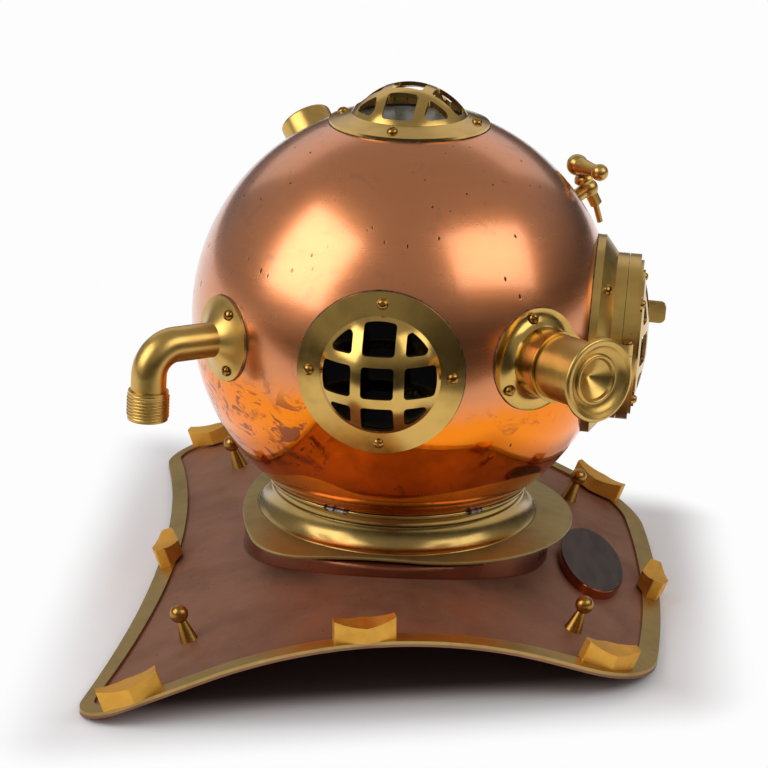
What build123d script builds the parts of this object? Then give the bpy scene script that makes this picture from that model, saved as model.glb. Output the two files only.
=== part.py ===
from build123d import *
import math
import os

# A copper diving helmet with brass fittings, in millimetres.
# While it is modelled, the neck axis is the Z axis and the diver looks towards -Y, so
# the diver's right hand is at -X. The end of the file moves everything so that the
# origin lies under the middle of the helmet, on the surface that it stands on.

# Clearances and helpers shared by every piece
gap = 0.3
running_gap = 0.05
overrun = 10.0
screw_hole_clearance = 0.1

# Bonnet: a copper ball, spun and open below
bonnet_radius = 152.0
bonnet_wall = 2.0
bonnet_rest_turn = -3.5
bonnet_mouth_rise = 1.0
bonnet_mouth_radius = 97.03

# Corselet: an arched saddle of sheet copper that narrows towards the front
plate_wall = 1.8
shoulder_height = 45.9
crown_radius = 334.0
crown_reach = 115.4
front_reach = 196.1
back_reach = 206.8
back_hollow = 31.3
front_bow = 13.5
side_bow = 9.0
front_half_width = 170.7
back_half_width = 270.3
front_corner_radius = 74.0
back_corner_radius = 28.0
band_width = 13.0
band_wall = 2.2

# Neck riser of the corselet and the cast collar on it
neck_bore_radius = 80.0
neck_skirt_radius = 84.0
riser_radius = 112.0
riser_top = 54.0
riser_corner = 4.0
register_radius = 88.5
collar_wall_radius = 93.7
collar_rim_radius = 96.5
collar_rim_top = 86.0
collar_rim_wall = 3.4
collar_ledge_top = 64.0
collar_skirt_depth = 6.0
ridge_top = 75.3
ridge_radius = 100.4
ridge_middle = 68.6
ridge_foot_radius = 102.0
ridge_foot = 59.4
groove_width = 1.2
groove_depth = 0.7
saucer_reach = 131.0
saucer_rim_height = 54.6
saucer_wall = 2.5
seat_reach = 96.0
saucer_front_radius = 109.0
saucer_front_offset = 20.0
saucer_side = 105.0
saucer_side_back = 57.0
saucer_corner_x = 70.0
saucer_corner_y = 102.0
saucer_corner_bulge_share = 0.32
saucer_back = 113.0

# Neck gasket and the ring soldered into the bonnet's mouth
gasket_wall = 1.7
gasket_inner_radius = 81.5
spigot_inner_radius = 82.0
neck_ring_collar_radius = 93.5
neck_ring_inner_radius = 85.0
neck_ring_rise = 9.0

# Cast lugs shaped like wing nuts, along the corselet's edge
lug_length = 42.0
lug_end_width = 8.0
lug_middle_width = 21.0
lug_height = 17.0
lug_notch = 4.0
lug_edge_round = 1.2
back_lug_inset = 46.8
shoulder_lug_y = 11.0
lug_inset = 8.3
front_lug_x = 168.5
front_lug_inset = 45.6
front_lug_turn = 26.0
end_lug_inset = 8.0

# Ball-headed lashing studs
stud_ball_radius = 6.4
stud_foot_radius = 6.4
stud_neck_radius = 3.2
stud_length = 20.0
stud_back_x = 172.7
stud_back_inset = 73.3
stud_front_x = 127.8
stud_front_inset = 66.6

# Oval boss on the front of the corselet
boss_half_width = 58.0
boss_length_share = 0.352
boss_place_share = 0.436
boss_height = 7.3
boss_edge_round = 1.0

# Round-head screws
screw_head_radius = 3.9
screw_head_height = 2.7
screw_shank_radius = 1.9
screw_length = 5.5
screw_slot_width = 1.0
screw_slot_depth = 1.2
small_screw_share = 0.78

# Windows: a flange, a domed grille of crossed bars, a glass and its rings
window_flange_radius = 56.7
window_flange_rim = 2.4
window_dome_radius = 41.0
window_dome_foot = 148.6
window_dome_top = 170.2
grille_wall = 3.0
window_opening_radius = 38.6
bar_width = 7.0
bar_spacing = 29.0
opening_corner = 2.6
window_skirt_radius = 46.0
window_skirt_wall = 2.4
window_skirt_end = 136.5
window_ledge = 146.4
window_glass_wall = 6.0
window_gasket_wall = 1.5
window_gasket_width = 4.6
retainer_wall = 2.2
retainer_width = 4.0
window_screw_radius = 48.8
window_screw_count = 4
side_window_azimuth = 90.0
side_window_latitude = 1.0
top_window_spin = -8.2

# Face port: its frame on the bonnet
face_latitude = -2.0
face_flange_radius = 71.0
face_rim_top = 140.4
face_cone_radius = 60.6
face_cone_top = 148.8
face_ring_radius = 59.3
face_ring_foot = 149.8
face_seat = 157.9
face_bore_radius = 47.0
face_skirt_radius = 56.0
face_skirt_end = 135.0
seal_inner_radius = 49.0
seal_width = 5.0
seal_depth = 1.6
face_screw_radius = 65.6
face_screw_count = 4

# Face port: the hinged door
door_depth = 8.3
door_lip_radius = 42.0
door_lip_wall = 2.5
door_recess_radius = 46.6
door_gasket_wall = 1.2
door_ring_radius = 55.2
door_ring_bore = 42.6
door_ring_wall = 2.1
door_guard_radius = 48.5
door_guard_flange = 1.6
door_guard_dome_radius = 43.0
door_guard_top = 176.4
door_guard_opening = 38.0
door_ear_radius = 5.2
door_ear_place = 49.6
door_screw_count = 4

# Face port: hinge on the diver's right, thumb screw on the diver's left
hinge_offset = 6.2
hinge_height = 161.5
knuckle_radius = 4.6
hinge_pin_radius = 2.0
door_knuckle_length = 13.4
frame_knuckle_length = 8.0
hinge_head_radius = 3.3
hinge_head_wall = 1.6
lug_root_inset = 1.8
latch_offset = 7.4
latch_lug_width = 14.0
latch_lug_reach = 6.8
latch_lug_wall = 7.0
latch_shank_radius = 2.9
latch_hole_clearance = 0.7
latch_collar_radius = 6.2
latch_collar_wall = 4.2
latch_blade_width = 16.0
latch_blade_wall = 3.6
latch_blade_length = 18.0
latch_blade_round = 4.5

# Exhaust valve, on the diver's right front
exhaust_azimuth = -47.0
exhaust_latitude = 3.0
exhaust_flange_radius = 35.5
exhaust_flange_rim = 2.2
exhaust_body_radius = 23.8
exhaust_flange_sweep = 7.0
exhaust_body_end = 174.8
exhaust_lip_radius = 24.5
exhaust_lip_width = 1.6
exhaust_tail_radius = 19.0
exhaust_tail_end = 144.0
exhaust_seat_radius = 14.0
exhaust_seat_height = 156.0
exhaust_chamber_radius = 17.0
exhaust_spigot_radius = 19.3
exhaust_spigot_end = 187.0
exhaust_cap_radius = 22.3
exhaust_cap_inner_radius = 19.7
exhaust_cap_chamber_end = 200.0
exhaust_flare_start = 209.0
exhaust_rim_radius = 28.6
exhaust_rim_height = 216.0
exhaust_rim_wall = 2.6
exhaust_dish_radius = 23.5
exhaust_dish_depth = 4.5
exhaust_dish_floor_radius = 17.5
exhaust_cup_radius = 14.4
exhaust_cup_lip = 2.2
exhaust_cup_depth = 9.5
exhaust_cap_spring_guide = 4.0
exhaust_cap_boss_radius = 5.4
exhaust_disc_radius = 15.8
exhaust_disc_wall = 3.0
exhaust_stem_radius = 3.0
exhaust_stem_top = 170.0
chin_button_radius = 11.0
chin_button_wall = 4.0
chin_button_place = 127.0
exhaust_valve_lift = 5.0
spring_radius = 7.6
spring_wire_radius = 0.75
spring_turns = 5
exhaust_screw_radius = 29.6
exhaust_screw_count = 3
exhaust_screw_start = 97.0

# Air inlet elbow, on the diver's right back
elbow_azimuth = -140.0
elbow_latitude = 2.0
elbow_flange_radius = 29.9
elbow_flange_rim = 2.4
elbow_flange_top = 160.0
elbow_tube_radius = 12.2
elbow_bore_radius = 9.2
elbow_reach = 208.0
elbow_bend_radius = 20.0
elbow_drop = 30.2
elbow_thread_length = 20.5
elbow_thread_radius = 13.9
elbow_screw_radius = 23.2
elbow_screw_count = 3
elbow_screw_start = 60.0

# Cable inlet, high on the diver's left back
inlet_azimuth = 133.5
inlet_latitude = 43.5
inlet_radius = 19.3
inlet_bore_radius = 14.0
inlet_root_bore_radius = 15.5
inlet_root_rise = 1.5
inlet_top = 173.6
inlet_edge_round = 2.2

# Spitcock, on the diver's left front
spitcock_azimuth = 30.5
spitcock_latitude = 29.5
spitcock_place = 168.0
spitcock_foot_radius = 9.0
spitcock_foot_wall = 3.0
spitcock_stub_radius = 5.0
spitcock_ball_radius = 7.0
spitcock_bore_radius = 2.6
spitcock_block_radius = 4.6
spitcock_block_length = 9.0
spitcock_spout_radius = 2.2
spitcock_spout_bore = 1.1
spitcock_spout_length = 17.0
spitcock_spout_lean = -11.0
spitcock_nut_radius = 7.6
spitcock_nut_foot = 6.4
spitcock_nut_height = 6.4
spitcock_stem_radius = 2.5
spitcock_hub_place = 20.8
spitcock_hub_radius = 7.9
spitcock_lever_length = 30.0
spitcock_lever_lean = 5.0
spitcock_lever_root_radius = 6.4
spitcock_lever_waist_radius = 3.9
spitcock_lever_end_radius = 6.2

# Places that follow from the sizes above
mouth_height = collar_rim_top + bonnet_mouth_rise
mouth_drop = math.sqrt(bonnet_radius ** 2 - bonnet_mouth_radius ** 2)
bonnet_height = mouth_height + mouth_drop
bonnet_centre = Vector(0, 0, bonnet_height)
bonnet_inner = bonnet_radius - bonnet_wall
flap_lean = math.asin(crown_reach / crown_radius)
back_lug_y = back_reach - back_lug_inset
front_lug_y = front_lug_inset - front_reach
stud_back_y = back_reach - stud_back_inset
stud_front_y = stud_front_inset - front_reach
front_strip = front_reach - band_width - riser_radius
boss_half_length = front_strip * boss_length_share
boss_y = -riser_radius - front_strip * boss_place_share
taper = (back_half_width - front_half_width) / (back_reach + front_reach)


def ball_height(radius, ball=bonnet_radius):
    """How far from its centre a ball's surface lies, at a distance from an axis."""
    return math.sqrt(ball ** 2 - radius ** 2)


def outward(azimuth, latitude, spin=0):
    """A plane at the bonnet's centre whose Z points out through one fitting.

    Azimuth is counted from the face towards the diver's left; local Y points up.
    """
    turn = math.radians(azimuth + bonnet_rest_turn)
    rise = math.radians(latitude)
    away = Vector(math.sin(turn) * math.cos(rise), -math.cos(turn) * math.cos(rise), math.sin(rise))
    aside = Vector(math.cos(turn), math.sin(turn), 0)
    plane = Plane(origin=bonnet_centre, x_dir=aside, z_dir=away)
    return plane.rotated((0, 0, spin))


def turned(*outline):
    """A piece turned about Z, from its outline of points (radius, height) and arcs."""
    edges = []
    start = Vector(outline[0][0], 0, outline[0][1])
    first = start
    for step in list(outline[1:]) + [outline[0]]:
        end = Vector(step[-2], 0, step[-1])
        if len(step) == 4:
            middle = Vector(step[0], 0, step[1])
            edges.append(ThreePointArc(start, middle, end))
        elif (end - start).length > 0:
            edges.append(Line(start, end))
        start = end
    face = make_face(Curve() + edges)
    return revolve(face, Axis.Z)


def rod(radius, start, end):
    """A cylinder along Z between two heights."""
    return Pos(0, 0, start) * Cylinder(radius, end - start, align=(Align.CENTER, Align.CENTER, Align.MIN))


def tube(outer, inner, start, end):
    return rod(outer, start, end) - rod(inner, start - overrun, end + overrun)


def around(count, radius, start_angle=0):
    """Places on a circle about Z, each with its local X pointing outwards."""
    return [Rot(0, 0, start_angle + 360 * i / count) * Pos(radius, 0, 0) for i in range(count)]


def round_head_screw(share=1.0):
    """A slotted screw with its head's seat at height 0 and its shank below."""
    head = screw_head_radius * share
    rise = screw_head_height * share
    shank = screw_shank_radius * share
    body = turned((0, -screw_length * share), (shank, -screw_length * share), (shank, 0), (head, 0),
                  (head * math.cos(math.pi / 4), rise * math.sin(math.pi / 4) * 1.1, 0, rise))
    slot_floor = rise - screw_slot_depth * share
    slot = Box(2 * head, screw_slot_width * share, 2 * rise, align=(Align.CENTER, Align.CENTER, Align.MIN))
    return body - Pos(0, 0, slot_floor) * slot


def screw_places(count, radius, height, tilt, start_angle):
    """Where a ring of screws stands on a sloping flange; tilt leans each one outwards."""
    return [place * Pos(0, 0, height) * Rot(0, tilt, 0) for place in around(count, radius, start_angle)]


def screw_ring(places, share=1.0, slot_angle=35):
    return [place * Rot(0, 0, slot_angle + 50 * i) * round_head_screw(share) for i, place in enumerate(places)]


def screw_drillings(places, share=1.0):
    radius = screw_shank_radius * share + screw_hole_clearance
    depth = screw_length * share + gap
    return [place * rod(radius, -depth, overrun) for place in places]


def spot_faces(places, share=1.0):
    """Flats that let the screw heads sit square on a curved flange."""
    radius = screw_head_radius * share + screw_hole_clearance
    return [place * rod(radius, 0, overrun / 2) for place in places]


def cross_bars(opening):
    """The flat outline of the openings between two pairs of crossed bars."""
    outline = Circle(opening)
    for side in (-1, 1):
        outline -= Pos(side * bar_spacing / 2, 0) * Rectangle(bar_width, 2 * opening + overrun)
        outline -= Pos(0, side * bar_spacing / 2) * Rectangle(2 * opening + overrun, bar_width)
    return fillet(outline.vertices(), opening_corner).faces()


def grille_cut(opening, start, end):
    return [extrude(Pos(0, 0, start) * hole, amount=end - start) for hole in cross_bars(opening)]


# Corselet

def half_width(y):
    """How far the shoulder edges lie from the middle: a taper with a slight bow."""
    along = (2 * y + front_reach - back_reach) / (front_reach + back_reach)
    return front_half_width + (y + front_reach) * taper + side_bow * (1 - along ** 2)


def arch_lean(y):
    """How far the saddle leans at a place: a round crown between two straight flaps."""
    if abs(y) < crown_reach:
        return math.asin(y / crown_radius)
    return math.copysign(flap_lean, y)


def arch_height(y):
    on_crown = min(abs(y), crown_reach)
    crown_drop = crown_radius - math.sqrt(crown_radius ** 2 - on_crown ** 2)
    return shoulder_height - crown_drop - (abs(y) - on_crown) * math.tan(flap_lean)


def arch_points(level):
    """The saddle's profile from front to back, at a level above its upper face."""
    points = []
    for y in (-front_reach - overrun, -crown_reach, 0, crown_reach, back_reach + overrun):
        lean = arch_lean(y)
        points.append((0, y + level * math.sin(lean), arch_height(y) + level * math.cos(lean)))
    return points


def arch_edge(level):
    """That profile as a straight flap, a round crown and a straight flap."""
    front, crown_front, crown_top, crown_back, back = arch_points(level)
    crown = ThreePointArc(crown_front, crown_top, crown_back)
    return [Line(front, crown_front), crown, Line(crown_back, back)]


def arch_shell(low, high):
    """The saddle's whole sheet between two levels above its upper face."""
    ends = []
    for end in (0, -1):
        ends.append(Line(arch_points(low)[end], arch_points(high)[end]))
    profile = make_face(Curve() + arch_edge(low) + arch_edge(high) + ends)
    width = half_width(back_reach) + side_bow + overrun
    return extrude(profile, amount=width, dir=(1, 0, 0), both=True)


def corselet_outline(inset=0):
    """The corselet's edge seen from above, or a line inside it."""
    front = inset - front_reach
    back = back_reach - inset
    middle = (front + back) / 2
    corner_front = front + front_bow
    corner_x = half_width(corner_front) - inset
    side_x = half_width(middle) - inset
    back_x = half_width(back) - inset
    edges = [ThreePointArc((-corner_x, corner_front), (0, front), (corner_x, corner_front)),
             ThreePointArc((corner_x, corner_front), (side_x, middle), (back_x, back)),
             ThreePointArc((back_x, back), (0, back - back_hollow), (-back_x, back)),
             ThreePointArc((-back_x, back), (-side_x, middle), (-corner_x, corner_front))]
    outline = make_face(Curve() + edges)
    outline = fillet(outline.vertices().sort_by(Axis.Y)[:2], front_corner_radius - inset)
    return fillet(outline.vertices().sort_by(Axis.Y)[-2:], back_corner_radius - inset)


def upright(outline):
    """An outline drawn up through the whole corselet."""
    return Pos(0, 0, -shoulder_height) * extrude(outline, amount=3 * shoulder_height)


edge_outline = corselet_outline()
band_outline = corselet_outline(band_width)
below_plate = arch_shell(-2 * shoulder_height, 0)
below_band = arch_shell(-2 * shoulder_height, band_wall)

riser_drop = arch_height(riser_radius) - 2 * plate_wall
riser = turned(
    (neck_skirt_radius, riser_top), (riser_radius - riser_corner, riser_top),
    (riser_radius - riser_corner * (1 - math.sin(math.pi / 4)), riser_top - riser_corner
     * (1 - math.cos(math.pi / 4)), riser_radius, riser_top - riser_corner),
    (riser_radius, riser_drop), (riser_radius - plate_wall, riser_drop),
    (riser_radius - plate_wall, riser_top - plate_wall), (neck_skirt_radius, riser_top - plate_wall))
riser -= arch_shell(-3 * shoulder_height, -plate_wall)
corselet_plate = arch_shell(-plate_wall, 0) & upright(edge_outline)
corselet_plate -= rod(riser_radius - plate_wall, 0, bonnet_height)
corselet_plate += riser

band = arch_shell(0, band_wall) & upright(edge_outline)
edge_band = band - upright(band_outline)


def lug():
    """A cast lug shaped like a wing nut, standing on height 0 with its foot left long."""
    half = lug_length / 2
    plan = Polyline((-half, -lug_end_width / 2), (0, -lug_middle_width / 2), (half, -lug_end_width / 2),
                    (half, lug_end_width / 2), (0, lug_middle_width / 2), (-half, lug_end_width / 2),
                    close=True)
    face = make_face(plan)
    face = fillet(face.vertices(), lug_edge_round)
    body = Pos(0, 0, -lug_height) * extrude(face, amount=2 * lug_height)
    notch_radius = (half ** 2 + lug_notch ** 2) / (2 * lug_notch)
    notch = Rot(90, 0, 0) * Cylinder(notch_radius, 2 * lug_middle_width)
    return body - Pos(0, 0, lug_height - lug_notch + notch_radius) * notch


def on_arch(x, y, spin=0):
    """Stands a piece on the saddle, square to its arch."""
    lean = math.degrees(arch_lean(y))
    return Pos(x, y, arch_height(y)) * Rot(-lean, 0, 0) * Rot(0, 0, spin)


edge_spin = math.degrees(math.atan(taper))
lug_places = []
for side in (-1, 1):
    for y in (back_lug_y, shoulder_lug_y):
        x = side * (half_width(y) - lug_inset)
        lug_places.append(on_arch(x, y, 90 - side * edge_spin))
    lug_places.append(on_arch(side * front_lug_x, front_lug_y, 90 - side * front_lug_turn))
lug_places.append(on_arch(0, back_reach - back_hollow - end_lug_inset))
lug_places.append(on_arch(0, end_lug_inset - front_reach))
edge_lugs = [place * lug() - below_band for place in lug_places]

stud_neck_height = stud_length - stud_ball_radius * 0.85
stud = turned((0, -stud_foot_radius), (stud_foot_radius, -stud_foot_radius), (stud_foot_radius, 0),
              (stud_neck_radius, stud_neck_height), (0, stud_neck_height))
stud += Pos(0, 0, stud_length) * Sphere(stud_ball_radius)
lashing_studs = []
for side in (-1, 1):
    lashing_studs.append(on_arch(side * stud_back_x, stud_back_y) * stud - below_plate)
    lashing_studs.append(on_arch(side * stud_front_x, stud_front_y) * stud - below_plate)

boss = Pos(0, 0, -boss_height) * extrude(Ellipse(boss_half_width, boss_half_length), amount=2 * boss_height)
boss = fillet(boss.faces().sort_by(Axis.Z)[-1].edges(), boss_edge_round)
front_boss = on_arch(0, boss_y) * boss - below_plate

# Collar: one casting, turned inside and out, with a saucer cut to a shield shape
saucer_slope = (ridge_foot - saucer_rim_height) / (saucer_reach - ridge_foot_radius)


def saucer_height(radius):
    return ridge_foot - (radius - ridge_foot_radius) * saucer_slope


groove_middle = ridge_foot_radius + groove_width / 2
groove_end = ridge_foot_radius + groove_width
saucer_end = saucer_reach + overrun
collar = turned(
    (neck_bore_radius, riser_top - collar_skirt_depth), (neck_skirt_radius, riser_top - collar_skirt_depth),
    (neck_skirt_radius, riser_top), (seat_reach, riser_top),
    (seat_reach, saucer_height(seat_reach) - saucer_wall),
    (saucer_end, saucer_height(saucer_end) - saucer_wall), (saucer_end, saucer_height(saucer_end)),
    (groove_end, saucer_height(groove_end)), (groove_middle, ridge_foot - groove_depth),
    (ridge_foot_radius, ridge_foot), (ridge_radius, ridge_middle, collar_wall_radius, ridge_top),
    (collar_wall_radius, collar_rim_top - collar_rim_wall),
    (collar_rim_radius, collar_rim_top - collar_rim_wall), (collar_rim_radius, collar_rim_top),
    (register_radius, collar_rim_top), (register_radius, collar_ledge_top),
    (neck_bore_radius, collar_ledge_top))


def saucer_outline():
    """The collar's shield shape: round to the front, square-shouldered to the back."""
    centre = -saucer_front_offset
    front = ThreePointArc((-saucer_front_radius, centre), (0, centre - saucer_front_radius),
                          (saucer_front_radius, centre))
    edges = [front]
    for side in (-1, 1):
        shoulder = (side * saucer_side, saucer_side_back)
        corner = (side * saucer_corner_x, saucer_corner_y)
        edges.append(Line((side * saucer_front_radius, centre), shoulder))
        bulge = saucer_corner_bulge_share
        x = side * (saucer_side + saucer_corner_x) / 2 + side * bulge * (saucer_corner_y - saucer_side_back) / 2
        y = (saucer_side_back + saucer_corner_y) / 2 + bulge * (saucer_side - saucer_corner_x) / 2
        edges.append(ThreePointArc(shoulder, (x, y), corner))
    edges.append(ThreePointArc((-saucer_corner_x, saucer_corner_y), (0, saucer_back),
                               (saucer_corner_x, saucer_corner_y)))
    return make_face(Curve() + edges)


neck_collar = collar & upright(saucer_outline())

gasket_low = collar_ledge_top
neck_gasket = tube(register_radius - gap, gasket_inner_radius, gasket_low, gasket_low + gasket_wall)

# Bonnet shell and the ring in its mouth
mouth_inner = ball_height(mouth_drop, bonnet_inner)
side_x = math.sqrt(0.5)
bonnet_shell = Pos(0, 0, bonnet_height) * turned(
    (bonnet_mouth_radius, -mouth_drop), (bonnet_radius * side_x, bonnet_radius * side_x, 0, bonnet_radius),
    (0, bonnet_inner), (bonnet_inner * side_x, bonnet_inner * side_x, mouth_inner, -mouth_drop))

spigot_radius = register_radius - gap
spigot_end = gasket_low + gasket_wall + gap
ring_top = mouth_height + neck_ring_rise
bonnet_neck_ring = turned(
    (spigot_inner_radius, spigot_end), (spigot_radius, spigot_end), (spigot_radius, collar_rim_top + gap),
    (neck_ring_collar_radius, collar_rim_top + gap), (neck_ring_collar_radius, ring_top),
    (neck_ring_inner_radius, ring_top), (spigot_inner_radius, mouth_height))

pieces = {
    "corselet_plate": [corselet_plate],
    "corselet_edge_band": [edge_band],
    "corselet_edge_lugs": edge_lugs,
    "corselet_lashing_studs": lashing_studs,
    "corselet_front_boss": [front_boss],
    "neck_collar": [neck_collar],
    "neck_gasket": [neck_gasket],
    "bonnet_neck_ring": [bonnet_neck_ring],
}

# Windows
dome_rise = window_dome_top - window_dome_foot
dome_ball = (window_dome_radius ** 2 + dome_rise ** 2) / (2 * dome_rise)
dome_centre = window_dome_top - dome_ball
dome_inner = dome_ball - grille_wall
ledge_radius = ball_height(window_ledge - dome_centre, dome_inner)
flange_foot = ball_height(window_flange_radius)
skirt_foot = ball_height(window_skirt_radius)
flange_middle = (window_flange_radius + window_skirt_radius) / 2
skirt_inner = window_skirt_radius - window_skirt_wall
flange_slope = math.atan2(window_dome_foot - flange_foot - window_flange_rim,
                          window_flange_radius - window_dome_radius)
window_screw_height = window_dome_foot - (window_screw_radius - window_dome_radius) * math.tan(flange_slope)


def dome_point(ball, centre, height):
    """The point halfway along a dome's arc, from its top down to a height."""
    half_angle = math.acos((height - centre) / ball) / 2
    return ball * math.sin(half_angle), centre + ball * math.cos(half_angle)


def window_guard():
    outer_middle = dome_point(dome_ball, dome_centre, window_dome_foot)
    inner_middle = dome_point(dome_inner, dome_centre, window_ledge)
    guard = turned(
        (window_flange_radius, flange_foot), (window_flange_radius, flange_foot + window_flange_rim),
        (window_dome_radius, window_dome_foot), (*outer_middle, 0, window_dome_top),
        (0, window_dome_top - grille_wall), (*inner_middle, ledge_radius, window_ledge),
        (skirt_inner, window_ledge), (skirt_inner, window_skirt_end),
        (window_skirt_radius, window_skirt_end), (window_skirt_radius, skirt_foot),
        (flange_middle, ball_height(flange_middle), window_flange_radius, flange_foot))
    return guard - grille_cut(window_opening_radius, window_ledge, window_dome_top + overrun)


window_screws = screw_places(window_screw_count, window_screw_radius, window_screw_height,
                             math.degrees(flange_slope), 0)
glass_radius = skirt_inner - running_gap
gasket_top = window_ledge
glass_top = gasket_top - window_gasket_wall
glass_foot = glass_top - window_glass_wall
window_pieces = {
    "guard": [window_guard() - screw_drillings(window_screws)],
    "glass": [rod(glass_radius, glass_foot, glass_top)],
    "gasket": [tube(glass_radius, skirt_inner - window_gasket_width, glass_top, gasket_top)],
    "retaining_ring": [tube(glass_radius, skirt_inner - retainer_width, glass_foot - retainer_wall,
                            glass_foot)],
    "screws": screw_ring(window_screws),
}
window_planes = {
    "right_window": outward(-side_window_azimuth, side_window_latitude),
    "left_window": outward(side_window_azimuth, side_window_latitude),
    "top_window": outward(0, 90, top_window_spin),
}
for window, plane in window_planes.items():
    for piece, solids in window_pieces.items():
        pieces[window + "_" + piece] = [plane * solid for solid in solids]
    bonnet_shell -= plane * rod(window_skirt_radius, window_skirt_end, window_dome_top)
    bonnet_shell -= [plane * hole for hole in screw_drillings(window_screws)]

# Face port frame
face = outward(0, face_latitude)
face_flange_foot = ball_height(face_flange_radius)
face_skirt_foot = ball_height(face_skirt_radius)
face_flange_middle = (face_flange_radius + face_skirt_radius) / 2
seal_outer_radius = seal_inner_radius + seal_width
hinge_x = -(face_ring_radius + hinge_offset)
latch_x = face_ring_radius + latch_offset
cone_slope = math.atan2(face_cone_top - face_rim_top, face_flange_radius - face_cone_radius)
face_screw_height = face_rim_top + (face_flange_radius - face_screw_radius) * math.tan(cone_slope)
face_screws = screw_places(face_screw_count, face_screw_radius, face_screw_height,
                           math.degrees(cone_slope), 180 / face_screw_count)


def knuckle(start, end):
    return Pos(hinge_x, 0, hinge_height) * Rot(-90, 0, 0) * rod(knuckle_radius, start, end)


def across(outline, start, end):
    """Draws an outline of (x, height) points along Y between two places."""
    points = [(x, start, height) for x, height in outline]
    plate = make_face(Polyline(*points, close=True))
    return extrude(plate, amount=end - start, dir=(0, 1, 0))


def latch_block(low, high, clearance):
    root = face_ring_radius - lug_root_inset
    block = Box(latch_x + latch_lug_reach - root, latch_lug_width, high - low,
                align=(Align.MIN, Align.CENTER, Align.MIN))
    corners = block.edges().filter_by(Axis.Z).sort_by(Axis.X)[-2:]
    block = Pos(root, 0, low) * fillet(corners, latch_lug_reach / 2)
    return block - Pos(latch_x, 0, 0) * rod(latch_shank_radius + clearance, low - overrun, high + overrun)


pin_drilling = Pos(hinge_x, 0, hinge_height) * Rot(-90, 0, 0) * rod(
    hinge_pin_radius + running_gap, -bonnet_radius, bonnet_radius)
frame_root_x = -(face_ring_radius - lug_root_inset)
frame_lug_outline = [
    (frame_root_x, face_ring_foot + gap), (frame_root_x, face_seat - gap),
    (hinge_x + knuckle_radius - gap, face_seat - gap), (hinge_x + knuckle_radius, hinge_height),
    (hinge_x - knuckle_radius, hinge_height), (hinge_x - knuckle_radius, face_seat - knuckle_radius / 2),
    (hinge_x + knuckle_radius / 2, face_ring_foot + gap)]
door_back = face_seat + gap
door_front = door_back + door_depth
door_lug_outline = [
    (frame_root_x, door_back + gap), (frame_root_x, door_front - gap),
    (hinge_x, hinge_height + knuckle_radius), (hinge_x, hinge_height - knuckle_radius / 2)]
half_door_knuckle = door_knuckle_length / 2
frame_knuckle_start = half_door_knuckle + gap
frame_knuckle_end = frame_knuckle_start + frame_knuckle_length

face_frame = turned(
    (face_flange_radius, face_flange_foot), (face_flange_radius, face_rim_top),
    (face_cone_radius, face_cone_top), (face_ring_radius, face_ring_foot), (face_ring_radius, face_seat),
    (seal_outer_radius, face_seat), (seal_outer_radius, face_seat - seal_depth),
    (seal_inner_radius, face_seat - seal_depth), (seal_inner_radius, face_seat),
    (face_bore_radius, face_seat), (face_bore_radius, face_skirt_end), (face_skirt_radius, face_skirt_end),
    (face_skirt_radius, face_skirt_foot),
    (face_flange_middle, ball_height(face_flange_middle), face_flange_radius, face_flange_foot))
for low, high in ((-frame_knuckle_end, -frame_knuckle_start), (frame_knuckle_start, frame_knuckle_end)):
    face_frame += across(frame_lug_outline, low, high)
    face_frame += knuckle(low, high)
face_frame += latch_block(face_seat - gap - latch_lug_wall, face_seat - gap, latch_hole_clearance)
face_frame -= pin_drilling
face_frame -= screw_drillings(face_screws)
face_seal = tube(seal_outer_radius, seal_inner_radius, face_seat - seal_depth, face_seat)
pin_end = frame_knuckle_end + gap
hinge_pin = rod(hinge_pin_radius, -pin_end, pin_end)
hinge_pin += rod(hinge_head_radius, pin_end, pin_end + hinge_head_wall)
hinge_pin += rod(hinge_head_radius, -pin_end - hinge_head_wall, -pin_end)
hinge_pin = Pos(hinge_x, 0, hinge_height) * Rot(-90, 0, 0) * hinge_pin

# Face port door
lip_top = door_back + door_lip_wall
door_glass_foot = lip_top + door_gasket_wall
ring_end = door_front + door_ring_wall
guard_flange_top = ring_end + door_guard_flange
face_door = turned(
    (face_ring_radius, door_back), (face_ring_radius, door_front), (door_recess_radius, door_front),
    (door_recess_radius, lip_top), (door_lip_radius, lip_top), (door_lip_radius, door_back))
face_door += across(door_lug_outline, -half_door_knuckle, half_door_knuckle)
face_door += knuckle(-half_door_knuckle, half_door_knuckle)
face_door += latch_block(door_back + gap, door_front, latch_hole_clearance / 2)
face_door -= pin_drilling
face_door -= rod(door_recess_radius, lip_top, door_front + overrun)
face_door -= rod(door_lip_radius, door_back - overrun, door_front)
door_glass_radius = door_recess_radius - running_gap
door_gasket = tube(door_glass_radius, door_lip_radius, lip_top, door_glass_foot)
door_glass = rod(door_glass_radius, door_glass_foot, door_front)
door_ring = tube(door_ring_radius, door_ring_bore, door_front, ring_end)

door_dome_rise = door_guard_top - guard_flange_top
door_dome_ball = (door_guard_dome_radius ** 2 + door_dome_rise ** 2) / (2 * door_dome_rise)
door_dome_centre = door_guard_top - door_dome_ball
door_dome_inner = door_dome_ball - grille_wall * small_screw_share
door_dome_inner_radius = ball_height(ring_end - door_dome_centre, door_dome_inner)
door_guard = turned(
    (door_dome_inner_radius, ring_end), (door_guard_radius, ring_end), (door_guard_radius, guard_flange_top),
    (door_guard_dome_radius, guard_flange_top),
    (*dome_point(door_dome_ball, door_dome_centre, guard_flange_top), 0, door_guard_top),
    (0, door_guard_top - grille_wall * small_screw_share),
    (*dome_point(door_dome_inner, door_dome_centre, ring_end), door_dome_inner_radius, ring_end))
ear_angle = 180 / door_screw_count
for place in around(door_screw_count, door_ear_place, ear_angle):
    door_guard += place * rod(door_ear_radius, ring_end, guard_flange_top)
door_guard -= grille_cut(door_guard_opening, ring_end - overrun, door_guard_top + overrun)
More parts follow.
